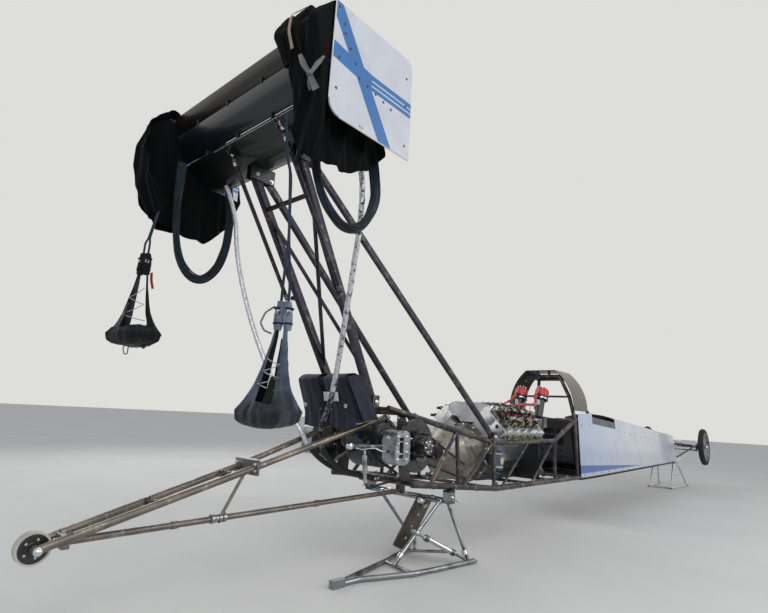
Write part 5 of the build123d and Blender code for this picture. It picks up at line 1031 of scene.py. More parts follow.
def make_packs():
    """Two navy packs: puffed rounded boxes with a long flap over the back, side flaps, blank label and eyelets."""
    parts = Parts()
    for side in (-1, 1):
        rows, turn = 30, 96
        rise = np.linspace(0, 1, rows)
        inset = 1 - np.clip(1 - np.minimum(rise, 1 - rise) / 0.10, 0, 1) ** 2 * 0.22
        corners = round_box(*PACK_OUTLINE, 8)
        outline = resampled(np.vstack([corners, corners[:1]]), turn + 1)[:-1]
        bend = creases(np.linspace(0, 500, turn)[None] + 0 * rise[:, None], rise[:, None] * 280 + np.zeros((1, turn)),
                       81 + side, 90.0, 5)
        swell = inset[:, None] * (1 + 0.03 * np.sin(np.pi * rise)[:, None] + 0.025 * bend)
        grid = pack_point(side, rise[:, None] * PACK_HEIGHT, outline[None, :, 1] * swell, outline[None, :, 0] * swell)
        parts.put("navy nylon", skin(grid))
        down, wide = np.meshgrid(np.linspace(0, 1, 50), np.linspace(-1, 1, 36), indexing="ij")
        route = eased([(262, -60), (296, -20), (300, 40), (280, 86), (150, 96), (60, 112), (-14, 140)], 50, 0.05)
        flap_rise, flap_back = np.repeat(route[:, :1], 36, 1), np.repeat(route[:, 1:], 36, 1)
        half = np.interp(down, [0, 0.3, 0.7, 1], [70, 80, 92, 104])
        fold = creases(wide * 90, down * 330, 91 + side, 70.0, 4) * down * 7
        grid = pack_point(side, flap_rise + 6 * down * wide ** 2, wide * half,
                          flap_back + fold + 9 * (1 - wide ** 2) - 10 * down * wide ** 4)
        parts.put("navy nylon", sheet(grid, 3.0))
        down, wide = np.meshgrid(np.linspace(0, 1, 30), np.linspace(0, 1, 20), indexing="ij")
        fold = creases(wide * 90, down * 250, 95 + side, 60.0, 4) * 5 * down
        grid = pack_point(side, 270 - 250 * down - 20 * wide * down, side * (90 + 8 + fold + 10 * down),
                          66 - 118 * wide)
        parts.put("navy nylon", sheet(grid, 2.5))
        eyelets = [(206, side * -10, 104), (120, side * 58, 108)] if side == -1 else [(120, side * 58, 108)]
        for up_it, across, back in eyelets:
            centre = pack_point(side, up_it, across, back + 4)
            parts.put("chrome", ring(centre, PACK_BACK, 5, 12, 4, 20))
            parts.put("black anodised", lathe([(-2, 5), (0, 5)], centre, PACK_BACK, 12))
        for up_it in (40, 96):
            centre = pack_point(side, up_it, side * -70, 112)
            parts.put("worn plating", ring(centre, PACK_BACK, 3, 7, 3, 16))
    axes = np.array([(0, 1.0, 0), unit(np.cross(PACK_BACK, (0, 1.0, 0))), PACK_BACK])
    parts.put("label white", brick(pack_point(-1, 176, 34, 114), (118, 52, 3.0), 1.0, axes))
    piece("packs", parts, replaces=("chute_packs",), sharp=60.0)


def bank(side, x, along, across):
    """A place on a cylinder bank: along is up the bank from the crank, across outwards from it."""
    _, out_way, up_way = bank_axes(side)
    return np.array([x, 0, CRANK_Z]) + along * up_way + across * out_way


def bank_axes(side):
    """The bank's axes: forward, outwards, up."""
    half = math.sqrt(0.5)
    return np.array([(1.0, 0, 0), (0, side * half, -half), (0, side * half, half)])


def coil(turns, radius, wire, height, sides=6):
    """A spring: a wire on the helix (R cos t, R sin t, h t / T)."""
    turn = np.linspace(0, turns * 2 * np.pi, int(turns * 18))
    path = np.c_[radius * np.cos(turn), radius * np.sin(turn), height * turn / turn[-1]]
    return hose(path, wire, sides)


def make_engine():
    """Studs, springs, lines and fittings on the bare engine, the magnetos' caps and their leads."""
    parts, leads = Parts(), Parts()
    for side in (-1, 1):
        axes = bank_axes(side)
        up_way, out_way = axes[2], axes[1]
        studs = [bank(side, x + dx, PORT_RISE + dz, 137) for x in PORTS
                 for dx, dz in ((-42, -18), (42, 18), (-42, 22), (42, -22))]
        stud = joined([lathe([(0, 4), (30, 4), (31, 3)], (0, 0, 0), UP, 8),
                       stamped(slab(polygon(9, 6), 8, 1), [(0, 0, 4)])])
        parts.put("gold studs", stamped(stud, studs, [axes_to(out_way)]))
        rims = [bank(side, x, PORT_RISE, 137.5) for x in PORTS]
        parts.put("oiled steel", *[ring(place, out_way, 26.5, 34, 4, 28) for place in rims])
        tops = [bank(side, x + dx, HEAD_TOP + 16, HEAD_MIDDLE + across) for across in (-109, 109)
                for x, dx in [(PORTS[0], -61)] + [(x, 61) for x in PORTS]]
        parts.put("chrome", nuts(tops, up_way, 10, 8))
        valves = [bank(side, x, ROCKER_PLATE + 10, HEAD_MIDDLE + sign * 76) for x in PORTS for sign in (-1, 1)]
        parts.put("oiled steel", stamped(coil(4.0, 18.5, 2.4, 30), valves, [axes]))
        retainer = lathe([(0, 6), (0.5, 19), (4, 19), (7, 12), (12, 8), (13, 3)], (0, 0, 32), UP, 14)
        parts.put("gold studs", stamped(retainer, valves, [axes]))
        rockers = [bank(side, x + dx, ROCKER_PLATE + 60, HEAD_MIDDLE + sign * 42) for x in PORTS for sign in (-1, 1)
                   for dx in (-19, 19)]
        parts.put("chrome", nuts(rockers, up_way, 7, 7))
        plugs = [bank(side, x, HEAD_TOP + 4, HEAD_MIDDLE) for x in PORTS]
        plug = joined([lathe([(0, 17), (10, 17), (12, 15), (14, 9)], (0, 0, 0), UP, 18),
                       lathe([(12, 7), (34, 7), (36, 5)], (0, 0, 0), UP, 10)])
        parts.put("milled aluminium", stamped(plug, plugs, [axes]))
        for index, x in enumerate(PORTS):
            start, end = (x - 20, side * 104, 978), bank(side, x - 34, 400, -92)
            path = curved(start, (x - 30, side * 150, 1012), end, 20)
            parts.put("braided hose", hose(path, 4.2, 8, (1.0, 0.0, 0.0)))
            parts.put("blue anodised" if index % 2 else "chrome",
                      lathe([(0, 8), (10, 8), (11, 6), (18, 6)], start, UP, 12))
            second = curved((x + 24, side * 112, 975), (x + 44, side * 190, 1006), bank(side, x + 50, 402, -64), 20)
            parts.put("rubber hose", hose(second, 6.0, 8, (1.0, 0.0, 0.0)))
            parts.put("chrome", lathe([(-14, 9), (-2, 9), (0, 11), (8, 11), (9, 7)], second[-1], up_way, 12))
        for across, wide in ((-47.0, 128.0), (78.0, 112.0)):
            parts.put("bright plate",
                      brick(bank(side, ENGINE_REAR_X - 2.5, 324.5, across), (5, wide, 100), 1.2, axes))
        parts.put("black anodised",
                  lathe([(0, 15), (1.2, 15), (1.6, 11), (0.4, 10)], bank(side, ENGINE_REAR_X - 5, 350, 60),
                        (-1, 0, 0), 20))
        end_plugs = [bank(side, ENGINE_REAR_X, DECK + dz, HEAD_MIDDLE + across)
                     for dz, across in ((22, -92), (84, -92), (24, 96), (82, 84), (30, 0))]
        parts.put("chrome", nuts(end_plugs, (-1, 0, 0), 8, 6))
        loom_start = np.array([2115.7, side * 105.0, 1110.7])
        run = loom_start + np.array(
            [(0, 0, 0), (-45, 0, -10.5), (-92, side * 22, -60), (-172, side * 45, -95), (-352, side * 52, -101),
             (-502, side * 40, -115)])
        path = eased(run, 110, 0.04)
        swell = 10.4 + 0.5 * np.cos(np.linspace(0, 120, 110))
        swell[-16:] *= np.linspace(1, 0.72, 16)
        leads.put("red moulding", hose(path, swell, 16))
        for pick in (28, 52, 78):
            leads.put("black anodised", ring(path[pick], path[pick + 1] - path[pick - 1], 9.5, 12.5, 9, 20))
        for index, pick in enumerate((60, 78, 94, 107)):
            boot = bank(side, PORTS[3 - index] + 6, HEAD_TOP + 46, 6)
            lead = curved(path[pick], (path[pick] + boot) / 2 + (0, 0, 36), boot, 18)
            leads.put("red moulding", hose(lead, 3.6, 8, (1.0, 0.0, 0.0)))
            leads.put("red moulding", lathe([(-4, 5), (0, 8), (20, 7), (24, 4.5)], boot, -up_way, 12))
        base = np.array([2120.0, side * 105.0, 912.8])
        rise = unit((35.0, 0, 92.0))
        foot = base + (60.0, 0, 160.0)
        crown = foot + rise * 98.4
        upright = [axes_to(rise)]
        parts.put("chrome", ring(foot + rise * 4, rise, 60, 66.5, 9, 40))
        parts.put("red moulding",
                  lathe([(34, 55), (34, 64), (42, 64.5), (44, 60), (94, 58.5), (98.6, 54), (99, 20)], foot, rise, 44))
        parts.put("red moulding",
                  stamped(brick((0, 0, 0), (7, 5, 46), 1.0), circle_of(foot + rise * 68, rise, 59, 20), upright))
        boots = circle_of(crown, rise, 38, 8)
        parts.put("red moulding",
                  stamped(lathe([(-3, 8), (2, 8.5), (16, 7), (19, 4.5)], (0, 0, 0), UP, 12), boots, upright))
        parts.put("chrome", stamped(lathe([(0, 4.5), (8, 4), (9, 2)], (0, 0, 17), UP, 8), boots, upright))
        parts.put("black anodised", lathe([(-2, 22), (3, 22), (6, 18), (8, 6)], crown, rise, 24))
        parts.put("chrome", nuts(circle_of(foot, rise, 52, 4, 0.4), -rise, 6, 6))
        parts.put("milled aluminium", brick(foot + (-52, 0, -26), (44, 30, 52), 5.0))
        parts.put("chrome", lathe([(0, 10), (34, 10), (36, 7)], base + (48, side * -58, 70), UP, 14))
    hoses = [
        ([(1740, -90, 640), (1800, -235, 640), (1840, -270, 760), (1900, -250, 860), (2040, -190, 900)],
         11.0, "rubber hose"),
        ([(1720, -60, 560), (1790, -215, 520), (1850, -262, 470), (1900, -250, 430)], 12.0, "braided hose"),
        ([(1760, 120, 650), (1850, 220, 640), (1900, 240, 520), (2020, 200, 430)], 12.0, "rubber hose"),
        ([(1010, -150, 600), (960, -236, 560), (1010, -262, 500), (1120, -270, 470)], 8.0, "braided hose"),
        ([(300, -60, 600), (420, -180, 540), (640, -250, 470), (880, -262, 450), (1080, -268, 452)],
         8.0, "rubber hose"),
    ]
    for points, radius, tint in hoses:
        path = eased(points, 70, 0.08)
        parts.put(tint, hose(path, radius, 12))
        for end, way in ((path[0], path[0] - path[3]), (path[-1], path[-1] - path[-4])):
            parts.put("blue anodised",
                      lathe([(-26, radius + 2.5), (-10, radius + 3), (-9, radius + 5), (2, radius + 5),
                             (3, radius + 1)], end, way, 6))
    parts.put("slate enamel",
              lathe([(0, 30), (6, 50), (12, 55), (132, 55), (140, 48), (146, 22), (162, 20), (166, 14)],
                    (1068, -260, 503), UP, 36))
    parts.put("chrome", *[ring((1068, -260, z), UP, 54, 58, 9, 36) for z in (530, 622)])
    parts.put("cream label", lathe([(0, 26), (1.2, 26), (1.6, 25)], (1068, -314.6, 572), (0, -1, 0), 28))
    parts.put("chrome", nuts(circle_of((1025.5, 0, CRANK_Z), (-1, 0, 0), 208, 14, 0.2), (-1, 0, 0), 7, 7))
    parts.put("titanium can",
              *[ring((x, 0, CRANK_Z), (1, 0, 0), r, r + 4, 7, 56)
                for x, r in ((720.0, 118), (815.0, 160), (905.0, 188))])
    manifold = [(x, y, 990) for x in np.linspace(1125, 1595, 6) for y in (-112, 112)]
    parts.put("chrome", nuts(manifold, UP, 8, 8))
    parts.put("oiled steel",
              nuts([(1100 + k * 70, y, 448 + 10) for k in range(8) for y in (-118, 118)], (0, -1, 0), 6, 5))
    piece("engine_fittings", parts)
    piece("ignition_leads", leads, replaces=("magneto_leads",), sharp=60.0)


def make_axle():
    """Bolts, bands, brake parts and lines about the live axle."""
    parts = Parts()
    for side in (-1, 1):
        way = (0, side, 0)
        parts.put("oiled steel", nuts(circle_of((0, side * 90.2, AXLE_Z), way, 130, 14), way, 8, 8))
        parts.put("black anodised",
                  lathe([(0, 118), (6, 116), (10, 104), (12, 80), (26, 74), (28, 60)], (0, side * 90, AXLE_Z), way,
                        48))
        parts.put("satin sheet",
                  *[ring((0, side * y, AXLE_Z), way, 45, 45 + r, w, 36)
                    for y, r, w in ((130, 12, 16), (168, 8, 10), (205, 14, 20))])
        parts.put("blue anodised", ring((0, side * 186, AXLE_Z), way, 45, 52, 10, 36))
        parts.put("chrome", nuts(circle_of((0, side * 205, AXLE_Z), way, 52, 8, 0.3), (1, 0, 0.2), 4, 5))
        parts.put("chrome", nuts(circle_of((0, side * 276, AXLE_Z), way, 66, 6, 0.5), (0, -side, 0), 7, 7))
    parts.put("oiled steel",
              *[ring((x, 0, 655 - (x - 100) * 0.09), (1, 0, -0.1), 84, 90 + grow, 12, 44)
                for x, grow in ((150, 6), (260, 4), (385, 10))])
    parts.put("chrome", nuts(circle_of((392, 0, 622), (-1, 0, 0), 94, 10), (-1, 0, 0), 6, 6))
    rear_fittings = [((-148, -40, 720), (-1, 0, 0.2)), ((-140, 30, 640), (-1, 0, -0.2)),
                     ((-60, -40, 828), (-0.4, 0, 1))]
    for place, way in rear_fittings:
        parts.put("blue anodised", lathe([(-6, 14), (8, 14), (10, 11), (24, 11), (26, 8)], place, way, 12))
    caliper = -345.0
    for z in (650, 714):
        parts.put("caliper silver", brick((-185, caliper - 42, z), (38, 10, 9), 2.0))
    parts.put("black anodised", brick((-185, caliper - 20, 682), (28, 6, 92), 1.5))
    parts.put("oiled steel", brick((-183, caliper - 28, 682), (16, 10, 60), 2.0))
    bolts = [(x, caliper - 48, z) for x in (-212, -140) for z in (622, 660, 704, 742)]
    parts.put("chrome", nuts(bolts, (0, -1, 0), 5, 4))
    parts.put("caliper silver", *[brick((x, caliper - 44, 682), (4, 10, 104), 1.5) for x in (-205, -165)])
    parts.put("chrome", lathe([(0, 9), (6, 9), (7, 6), (20, 6), (24, 3)], (-232, caliper, 730), (-1, 0, 0.5), 12))
    parts.put("blue anodised", lathe([(0, 8), (9, 8), (10, 5), (16, 5)], (-234, caliper + 4, 660), (-1, 0, 0), 6))
    line = eased(
        [(-246, caliper + 4, 660), (-285, -338, 662), (-318, -322, 676), (-352, -304, 674), (-388, -292, 668),
         (-420, -272, 676)], 60, 0.08)
    parts.put("chrome", hose(line, 2.6, 8))
    parts.put("chrome", rod((-441, -262, 684), (-66, -262, 676), 9.5))
    parts.put("oiled steel", rod((-430, -262, 683), (-300, -262, 681), 13.0))
    parts.put("chrome", *[lathe([(-16, 6), (-12, 16), (12, 16), (16, 6)], (x, -262, 683), (0, 1, 0), 20)
                          for x in (-452, -90)])
    parts.put("caliper silver",
              lathe([(0, 5), (8, 7), (24, 7), (26, 14), (118, 14), (122, 9), (150, 9), (152, 12), (166, 12)],
                    (-352, -276, 662), (0.06, -0.05, -1), 20))
    parts.put("oiled steel", brick((-352, -270, 672), (22, 22, 20), 3.0))
    low = eased(
        [(-342, -284, 500), (-330, -286, 474), (-280, -270, 462), (-180, -230, 470), (-60, -200, 474),
         (10, -180, 476)], 50, 0.08)
    parts.put("rubber hose", hose(low, 6.0, 10))
    hoses = [
        ([(-150, -60, 700), (-200, -120, 660), (-170, -200, 600), (-90, -235, 560), (20, -235, 500)],
         8.0, "rubber hose"),
        ([(-160, 20, 640), (-230, 60, 590), (-190, 140, 540), (-60, 200, 500), (40, 220, 486)],
         8.0, "braided hose"),
        ([(30, -240, 640), (60, -262, 700), (40, -262, 800), (-20, -240, 850)], 6.0, "braided hose"),
        ([(120, -80, 760), (220, -150, 790), (330, -190, 740), (470, -250, 640), (640, -262, 560)],
         7.0, "rubber hose"),
    ]
    for points, radius, tint in hoses:
        parts.put(tint, hose(eased(points, 60, 0.1), radius, 10))
    tabs = [(-70, -262, 840), (-50, -262, 520), (50, -262, 560), (44, -262, 690), (-40, -262, 760)]
    parts.put("chrome", nuts(tabs, (0, -1, 0), 7, 6))
    parts.put("chrome", nuts([(x, -y, z) for x, y, z in tabs], (0, 1, 0), 7, 6))
    piece("axle_fittings", parts)
    spin = Parts()
    ends = [((0, side * HUB_NOSE_Y, AXLE_Z), (0, side, 0)) for side in (-1, 1)]
    spin.put("chrome", *[nuts(circle_of(end, way, 30, 6, 0.2), way, 5, 4) for end, way in ends])
    spin.put("oiled steel",
             *[lathe([(0, 24), (6, 24), (8, 20), (9, 12), (5, 10)], end, way, 28) for end, way in ends])
    spin.put("chrome", nuts(circle_of((0, -356.2, AXLE_Z), (0, -1, 0), 66, 10), (0, -1, 0), 5, 4))
    piece("hub_fittings", spin, body="rear_axle")


RAILS = {"bottom": [(0.0, -330.0, 473.0), (960.0, -330.0, 391.0), (2450.0, -330.0, 391.0), (2900.0, -322.0, 391.0),
                    (6800.0, -165.0, 405.0)],
         "top": [(-175.0, -274.0, 891.5), (940.0, -330.0, 700.0), (1950.0, -330.0, 718.0), (2450.0, -315.0, 900.0),
                 (2900.0, -295.0, 930.0), (6750.0, -140.0, 722.0)]}


def on_rail(name, x):
    """The middle of a rail, and its direction, at a distance along the car."""
    rail = np.array(RAILS[name])
    point = np.array([np.interp(x, rail[:, 0], rail[:, k]) for k in range(3)])
    ahead = np.array([np.interp(x + 5, rail[:, 0], rail[:, k]) for k in range(3)])
    return point, ahead - point


def make_frame():
    """Clamps, bolts, sleeves and lines on the bare frame."""
    right = Parts()
    clamps = [("bottom", x, 19) for x in (210, 420, 700, 1180, 1760, 2200)]
    clamps += [("top", x, 17) for x in (60, 330, 660, 1240, 1700, 2120)]
    for name, x, radius in clamps:
        point, way = on_rail(name, x)
        right.put("oiled steel", ring(point, way, radius - 1, radius + 2.2, 14, 28))
        right.put("chrome", brick(point + (0, 0, radius + 5), (14, 10, 9), 2.0))
    runs = [("bottom", 80, 2300, (0, 27, 12), 6.0, "braided hose"),
            ("bottom", 80, 2300, (0, 40, 0), 5.0, "rubber hose"), ("top", -60, 900, (0, 24, -10), 5.0, "rubber hose")]
    for name, start, end, offset, radius, tint in runs:
        xs = np.linspace(start, end, 60)
        path = np.array([on_rail(name, x)[0] for x in xs]) + offset
        path[:, 2] += 2.0 * np.sin(xs / 90.0)
        right.put(tint, hose(path, radius, 8))
    holds = [((-174, -152, 925), 30), ((898, -330, 744), 26), ((-30, -132, 841), 20), ((-806, -205, 2158), 26),
             ((-906, -205, 2172), 28)]
    for (x, y, z), half in holds:
        right.put("chrome", nuts([(x, y - half, z)], (0, -1, 0), 10, 8))
        right.put("chrome", nuts([(x, y + half, z)], (0, 1, 0), 10, 8))
    right.put("chrome", nuts([(-20, -62.5, 477), (8, -62.5, 477)], (0, -1, 0), 8, 7))
    tabs = [(560, -310, 440), (1000, -310, 412), (1250, -332, 690), (640, -308, 742)]
    right.put("oiled steel", *[brick(tab, (30, 5, 34), 2.0) for tab in tabs])
    brace = np.array([(-570.0, -232.0, 1500.0), (-1062.0, -232.0, 2262.0)])
    way = unit(brace[1] - brace[0])
    top = brace[1]
    eye = [(-86, 14), (-84, 16), (-66, 16), (-64, 12), (-62, 9), (-34, 9), (-30, 13), (-18, 16), (-14, 12)]
    right.put("chrome", lathe(eye, top, way, 20), lathe([(-60, 13), (-50, 13)], top, way, 6),
              lathe([(-9, 8), (-8, 18), (8, 18), (9, 8)], top + (0, -5, 0), (0, 1, 0), 24))
    right.put("oiled steel", lathe([(0, 13.5), (3, 15), (26, 15), (29, 13.5)], brace[0] + way * 4, way, 20))
    fin = np.array([[(-1108, -226.0, 2276), (-1012, -226.0, 2240)], [(-1066, -226.0, 2226), (-1058, -226.0, 2226)]])
    right.put("wing gloss", sheet(fin, 3.0))
    whole = Parts((both(surface), finish) for surface, finish in right)
    collars = [((-1050 + k * 20, 0, 328 + (k * 20 + 639) * 0.026), 18 + (k % 3 == 0) * 3) for k in range(4)]
    whole.put("worn plating", *[ring(place, (1, 0, 0.026), 13.5, wide, 17, 24) for place, wide in collars])
    whole.put("bar tube", *[ring((x, 0, 328 + (x + 1663) * 0.0255), (1, 0, 0.0255), 13.5, 17, 30, 24)
                            for x in (-1230, -420)])
    whole.put("chrome", nuts([(-898, y, z) for y in (-78, 78) for z in (556, 586)], (-1, 0, 0), 7, 6))
    whole.put("chrome", brick((-890, 0, 608), (22, 176, 6), 2.0))
    whole.put("black anodised", lathe([(0, 10), (12, 12), (30, 12), (34, 8)], (-1004, 0, 356), (-0.5, 0, -1), 14))
    piece("frame_fittings", whole)


def make_wheelie():
    """Bolts and collars of the wheelie bar's fork, and the small wheel's dark faces."""
    centre = WHEELIE_AXLE
    parts = Parts()
    for side in (-1, 1):
        way = (0, side, 0)
        cap = [(0, 15), (4, 16), (9, 14), (10, 9), (16, 9), (18, 6)]
        parts.put("chrome", lathe(cap, centre + (0, side * 63, 0), way, 20))
        parts.put("oiled steel", lathe([(0, 13), (2, 14), (8, 14), (10, 12)], centre + (0, side * 19.5, 0), way, 20))
        along = unit((865.0, side * -19.0, 251.0))
        parts.put("oiled steel",
                  *[ring(centre + (0, side * 46, 0) + along * reach, along, 15.5, 18.5, 16, 24)
                    for reach in (110, 430, 780)])
    parts.put("chrome", nuts([(-1676.5, y, 334) for y in (-36, 36)], (-1, 0, 0), 6, 5))
    piece("wheelie_fittings", parts)
    faces = Parts()
    for side in (-1, 1):
        way = (0, side, 0)
        faces.put("black anodised",
                  lathe([(0, 50), (1.5, 50), (2, 46), (0.6, 40), (0.6, 24), (2.2, 22), (2.2, 12)],
                        centre + (0, side * 16.8, 0), way, 36))
        faces.put("chrome", nuts(circle_of(centre + (0, side * 17.0, 0), way, 32, 5), way, 3.5, 2.2))
    piece("wheelie_wheel_faces", faces, body="wheelie_roller")


def make_wing():
    """Strips, screws and fittings on the wing, with a pale strip that paints the light seen through the main plane's
    slot.
    """
    parts = Parts()
    chord = unit((-285.0, 0, 58.0))
    parts.put("milled aluminium",
              brick((-816, -20, 2243.5), (30, 900, 2.4), 0.8,
                    np.array([-chord, (0, 1, 0), np.cross(-chord, (0, 1, 0))])))
    # Painted light: a pale strip on the main plane's trailing edge for the light seen through its slot
    parts.put("white enamel and painted slot light", brick((-1070, -30, 2303.4), (7, 860, 2.2), 0.6))
    parts.put("wing gloss", brick((-1138, 0, 2488), (5, 1480, 34), 1.2))
    parts.put("wing gloss", brick((-1050, 0, 2331), (5, 1480, 20), 1.2))
    spans = [((-790, 2250), (-1075, 2308), 5), ((-1058, 2338), (-1152, 2478), 3), ((-1142, 2494), (-1190, 2578), 2)]
    dots = [np.array([start[0], 0, start[1]]) + (np.array([end[0], 0, end[1]]) - (start[0], 0, start[1])) * share
            for start, end, count in spans for share in np.linspace(0.12, 0.88, count)]
    more = [np.array([x, 0, z]) for x, z in ((-1170, 2180), (-1165, 2330), (-720, 2330), (-722, 2480), (-715, 2120))]
    screws = [(*dot[[0]], -760.0, dot[2]) for dot in dots + more]
    button = lathe([(0, 6.5), (1.2, 6.3), (2.2, 4.4), (1.4, 2.2), (1.4, 1.2)], (0, 0, 0), UP, 14)
    parts.put("black anodised", stamped(button, screws, [axes_to((0, -1, 0))]))
    inner = [(x, 760.0, z) for x, _, z in screws]
    parts.put("black anodised", stamped(button, inner, [axes_to((0, 1, 0))]))
    parts.put("pale moulding", brick((-1010, -762.0, 2078), (26, 4, 13), 1.6))
    trims = [resampled([(-1200, -756, 2120), (-1200, -756, 2590), (-710, -756, 2590)], 50),
             resampled([(-680, -756, 2560), (-680, -756, 2060), (-1140, -756, 2060)], 50)]
    parts.put("white enamel and painted slot light", *[hose(trim, 4.3, 6, (0.0, 1.0, 0.0)) for trim in trims])
    ears = [(x, y, 2166 + 24) for x in (-925, -885, -845, -805) for y in (-235.0, 235.0)]
    parts.put("chrome", nuts([place for place in ears if place[1] < 0], (0, -1, 0), 6, 5))
    parts.put("chrome", nuts([place for place in ears if place[1] > 0], (0, 1, 0), 6, 5))
    for y in (-480, -160, 160, 480):
        parts.put("black anodised", brick((-1066, y, 2326), (26, 5, 46), 2.0))
        parts.put("black anodised", brick((-1150, y, 2489), (22, 5, 34), 2.0))
    piece("wing_fittings", parts)


def wheel_parts(side):
    """Wire spokes, bead rings, hub cap and tread ribs of one front wheel."""
    centre = np.array([WHEELBASE, side * FRONT_WHEEL_Y, HUB_Z])
    way = np.array([0, 1.0, 0])
    outer = (0, side, 0)
    face = centre + (0, side * 33, 0)
    lines = ((-37.6, 238), (37.6, 238), (-36.2, 254), (36.2, 254))
    parts = Parts()
    parts.put("polished rim", *[ring(centre + (0, dy, 0), way, RIM_R, RIM_R + 8.5, 5, 64) for dy in (-31.5, 31.5)])
    parts.put("tyre rubber", *[ring(centre + (0, dy, 0), way, 285.2, 288.6, 5, 96) for dy in (-8, 0, 8)])
    parts.put("tyre rubber", *[ring(centre + (0, dy, 0), way, radius, radius + 4, 3.0, 96) for dy, radius in lines])
    parts.put("chrome", lathe([(0, 30), (5, 30), (8, 26), (20, 22), (26, 12), (27, 4)], face, outer, 32))
    parts.put("oiled steel", nuts(circle_of(face, outer, 25, 6), outer, 3.5, 5))
    parts.put("black anodised", rod(centre + (150, side * 26, 140), centre + (132, side * 32, 124), 4.0, 10))
    angle = np.arange(24) * np.pi / 12
    for twist, dy in ((0.5, -24.0), (-0.5, 24.0)):
        start = centre + np.c_[30 * np.cos(angle + twist), np.full(24, dy), 30 * np.sin(angle + twist)]
        end = centre + np.c_[RIM_R * np.cos(angle), np.full(24, dy * 0.2), RIM_R * np.sin(angle)]
        parts.put("polished rim", *[rod(a, b, 2.4, 6) for a, b in zip(start, end)])
    return parts


def make_front():
    """Front wheels' spokes and caps, and the nuts of the axle and its radius rods."""
    for side, name in ((-1, "right"), (1, "left")):
        piece("front_wheel_parts_" + name, wheel_parts(side), body="front_wheel_" + name)
        pin = Parts()
        for way in (UP, -UP):
            pin.put("chrome", nuts([(WHEELBASE, side * KINGPIN_Y, HUB_Z) + way * 48], way, 10, 8))
        piece("kingpin_nuts_" + name, pin, body="knuckle_" + name)
    parts = Parts()
    rod_ends = [(x, dz, side) for x, dz in ((60, 4), (64, -17)) for side in (-1, 1)]
    parts.put("chrome", *[ring((WHEELBASE - x, side * 272.0, HUB_Z + dz), (1, side * -0.11, 0), 10, 17, 22, 20)
                          for x, dz, side in rod_ends])
    parts.put("oiled steel", *[ring((WHEELBASE, side * y, HUB_Z), (0, 1, 0), 18.5, 23, 20, 28)
                               for y in (120, 236) for side in (-1, 1)])
    parts.put("chrome", nuts([(WHEELBASE - 300, 0, 712)], UP, 8, 6))
    piece("front_axle_fittings", parts)


def snapped(node, places):
    """Places moved on to the nearest surface of a node, with the outward directions there."""
    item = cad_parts[node]
    found = [item.closest_point_on_mesh(Vector(point)) for point in to_frame(places)]
    where = np.array([list(hit[1]) for hit in found]) * 1000.0 - SHIFT
    return where, np.array([list(hit[2]) for hit in found])


def make_body():
    """Quarter-turn fasteners on the panels, trim on the cowl, seat pad and belts."""
    button = joined([lathe([(0, 11), (1.0, 10.6), (1.6, 8), (1.0, 6), (1.4, 4), (1.4, 1)], (0, 0, 0), UP, 18)])
    parts = Parts()
    for name, side in (("side_panel_right", -1), ("side_panel_left", 1)):
        xs = np.arange(2560.0, 6700.0, 245.0)
        high = [(x, side * 420.0, np.interp(x, [2450, 2900, 6750], [862, 872, 668]))
                for x in xs if not 2880 < x < 3660]
        low = [(x, side * 420.0, 416.0) for x in xs]
        where, ways = snapped(name, high + low)
        turned = np.array([axes_to((way[0], side * abs(way[1]) + 1e-6, way[2])) for way in ways])
        parts.put("worn plating", stamped(button, where, turned))
    above = [(x, y, 1100.0) for x in np.arange(3760.0, 6700.0, 420.0) for y in (-70.0, 70.0)]
    where, ways = snapped("top_cover", above)
    parts.put("worn plating", stamped(button, where, np.array([axes_to(way) for way in ways])))
    arch = np.linspace(math.radians(2), math.radians(178), 26)
    rivet = lathe([(0, 5), (1.6, 4.6), (2.4, 2)], (0, 0, 0), UP, 10)
    for x in (2404.0, 2731.0):
        guess = np.c_[np.full(26, x), -420 * np.cos(arch), 1000 + 420 * np.sin(arch)]
        where, ways = snapped("cowl", guess)
        square = np.array([axes_to((0, way[1], way[2] + 1e-6)) for way in ways[::2]])
        parts.put("worn plating", stamped(rivet, where[::2] + (14 if x < 2500 else -14, 0, 0), square))
    piece("panel_fasteners", parts)
    share, wide = np.meshgrid(np.linspace(0, 1, 60), np.linspace(-1, 1, 40), indexing="ij")
    route = eased([(2586, 880), (2698, 520), (2776, 462), (3085, 492)], 60, 0.05)
    slope = unit(np.gradient(route, axis=0))
    seams = np.minimum(1, np.abs(np.sin(share * np.pi * 6)) * 3) * np.minimum(
        1, np.abs(np.sin((wide + 1) * np.pi * 1.5)) * 3)
    rise = 14 + 14 * (1 - wide ** 6) * (1 - (2 * share - 1) ** 8) * (0.55 + 0.45 * seams)
    x = route[:, :1] - slope[:, 1:] * rise * -1
    z = route[:, 1:] - slope[:, :1] * rise * -1
    pad = piece("seat_pad", [(sheet(np.stack([x, wide * 196, z], axis=-1), 12.0), "black nylon")],
                sharp=60.0)
    belts = Parts()
    for side in (-1, 1):
        path = eased(
            [(2600, side * 90, 905), (2650, side * 92, 800), (2716, side * 96, 600), (2776, side * 60, 508),
             (2860, side * 24, 512)], 50, 0.06)
        belts.put("grey webbing", ribbon(path + (16, 0, 14), 72.0, 3.0, (1.0, 0.0, 0.5), 2.0))
    belts.put("chrome", brick((2880, 0, 526), (60, 66, 12), 4.0))
    piece("belts", belts, sharp=60.0)


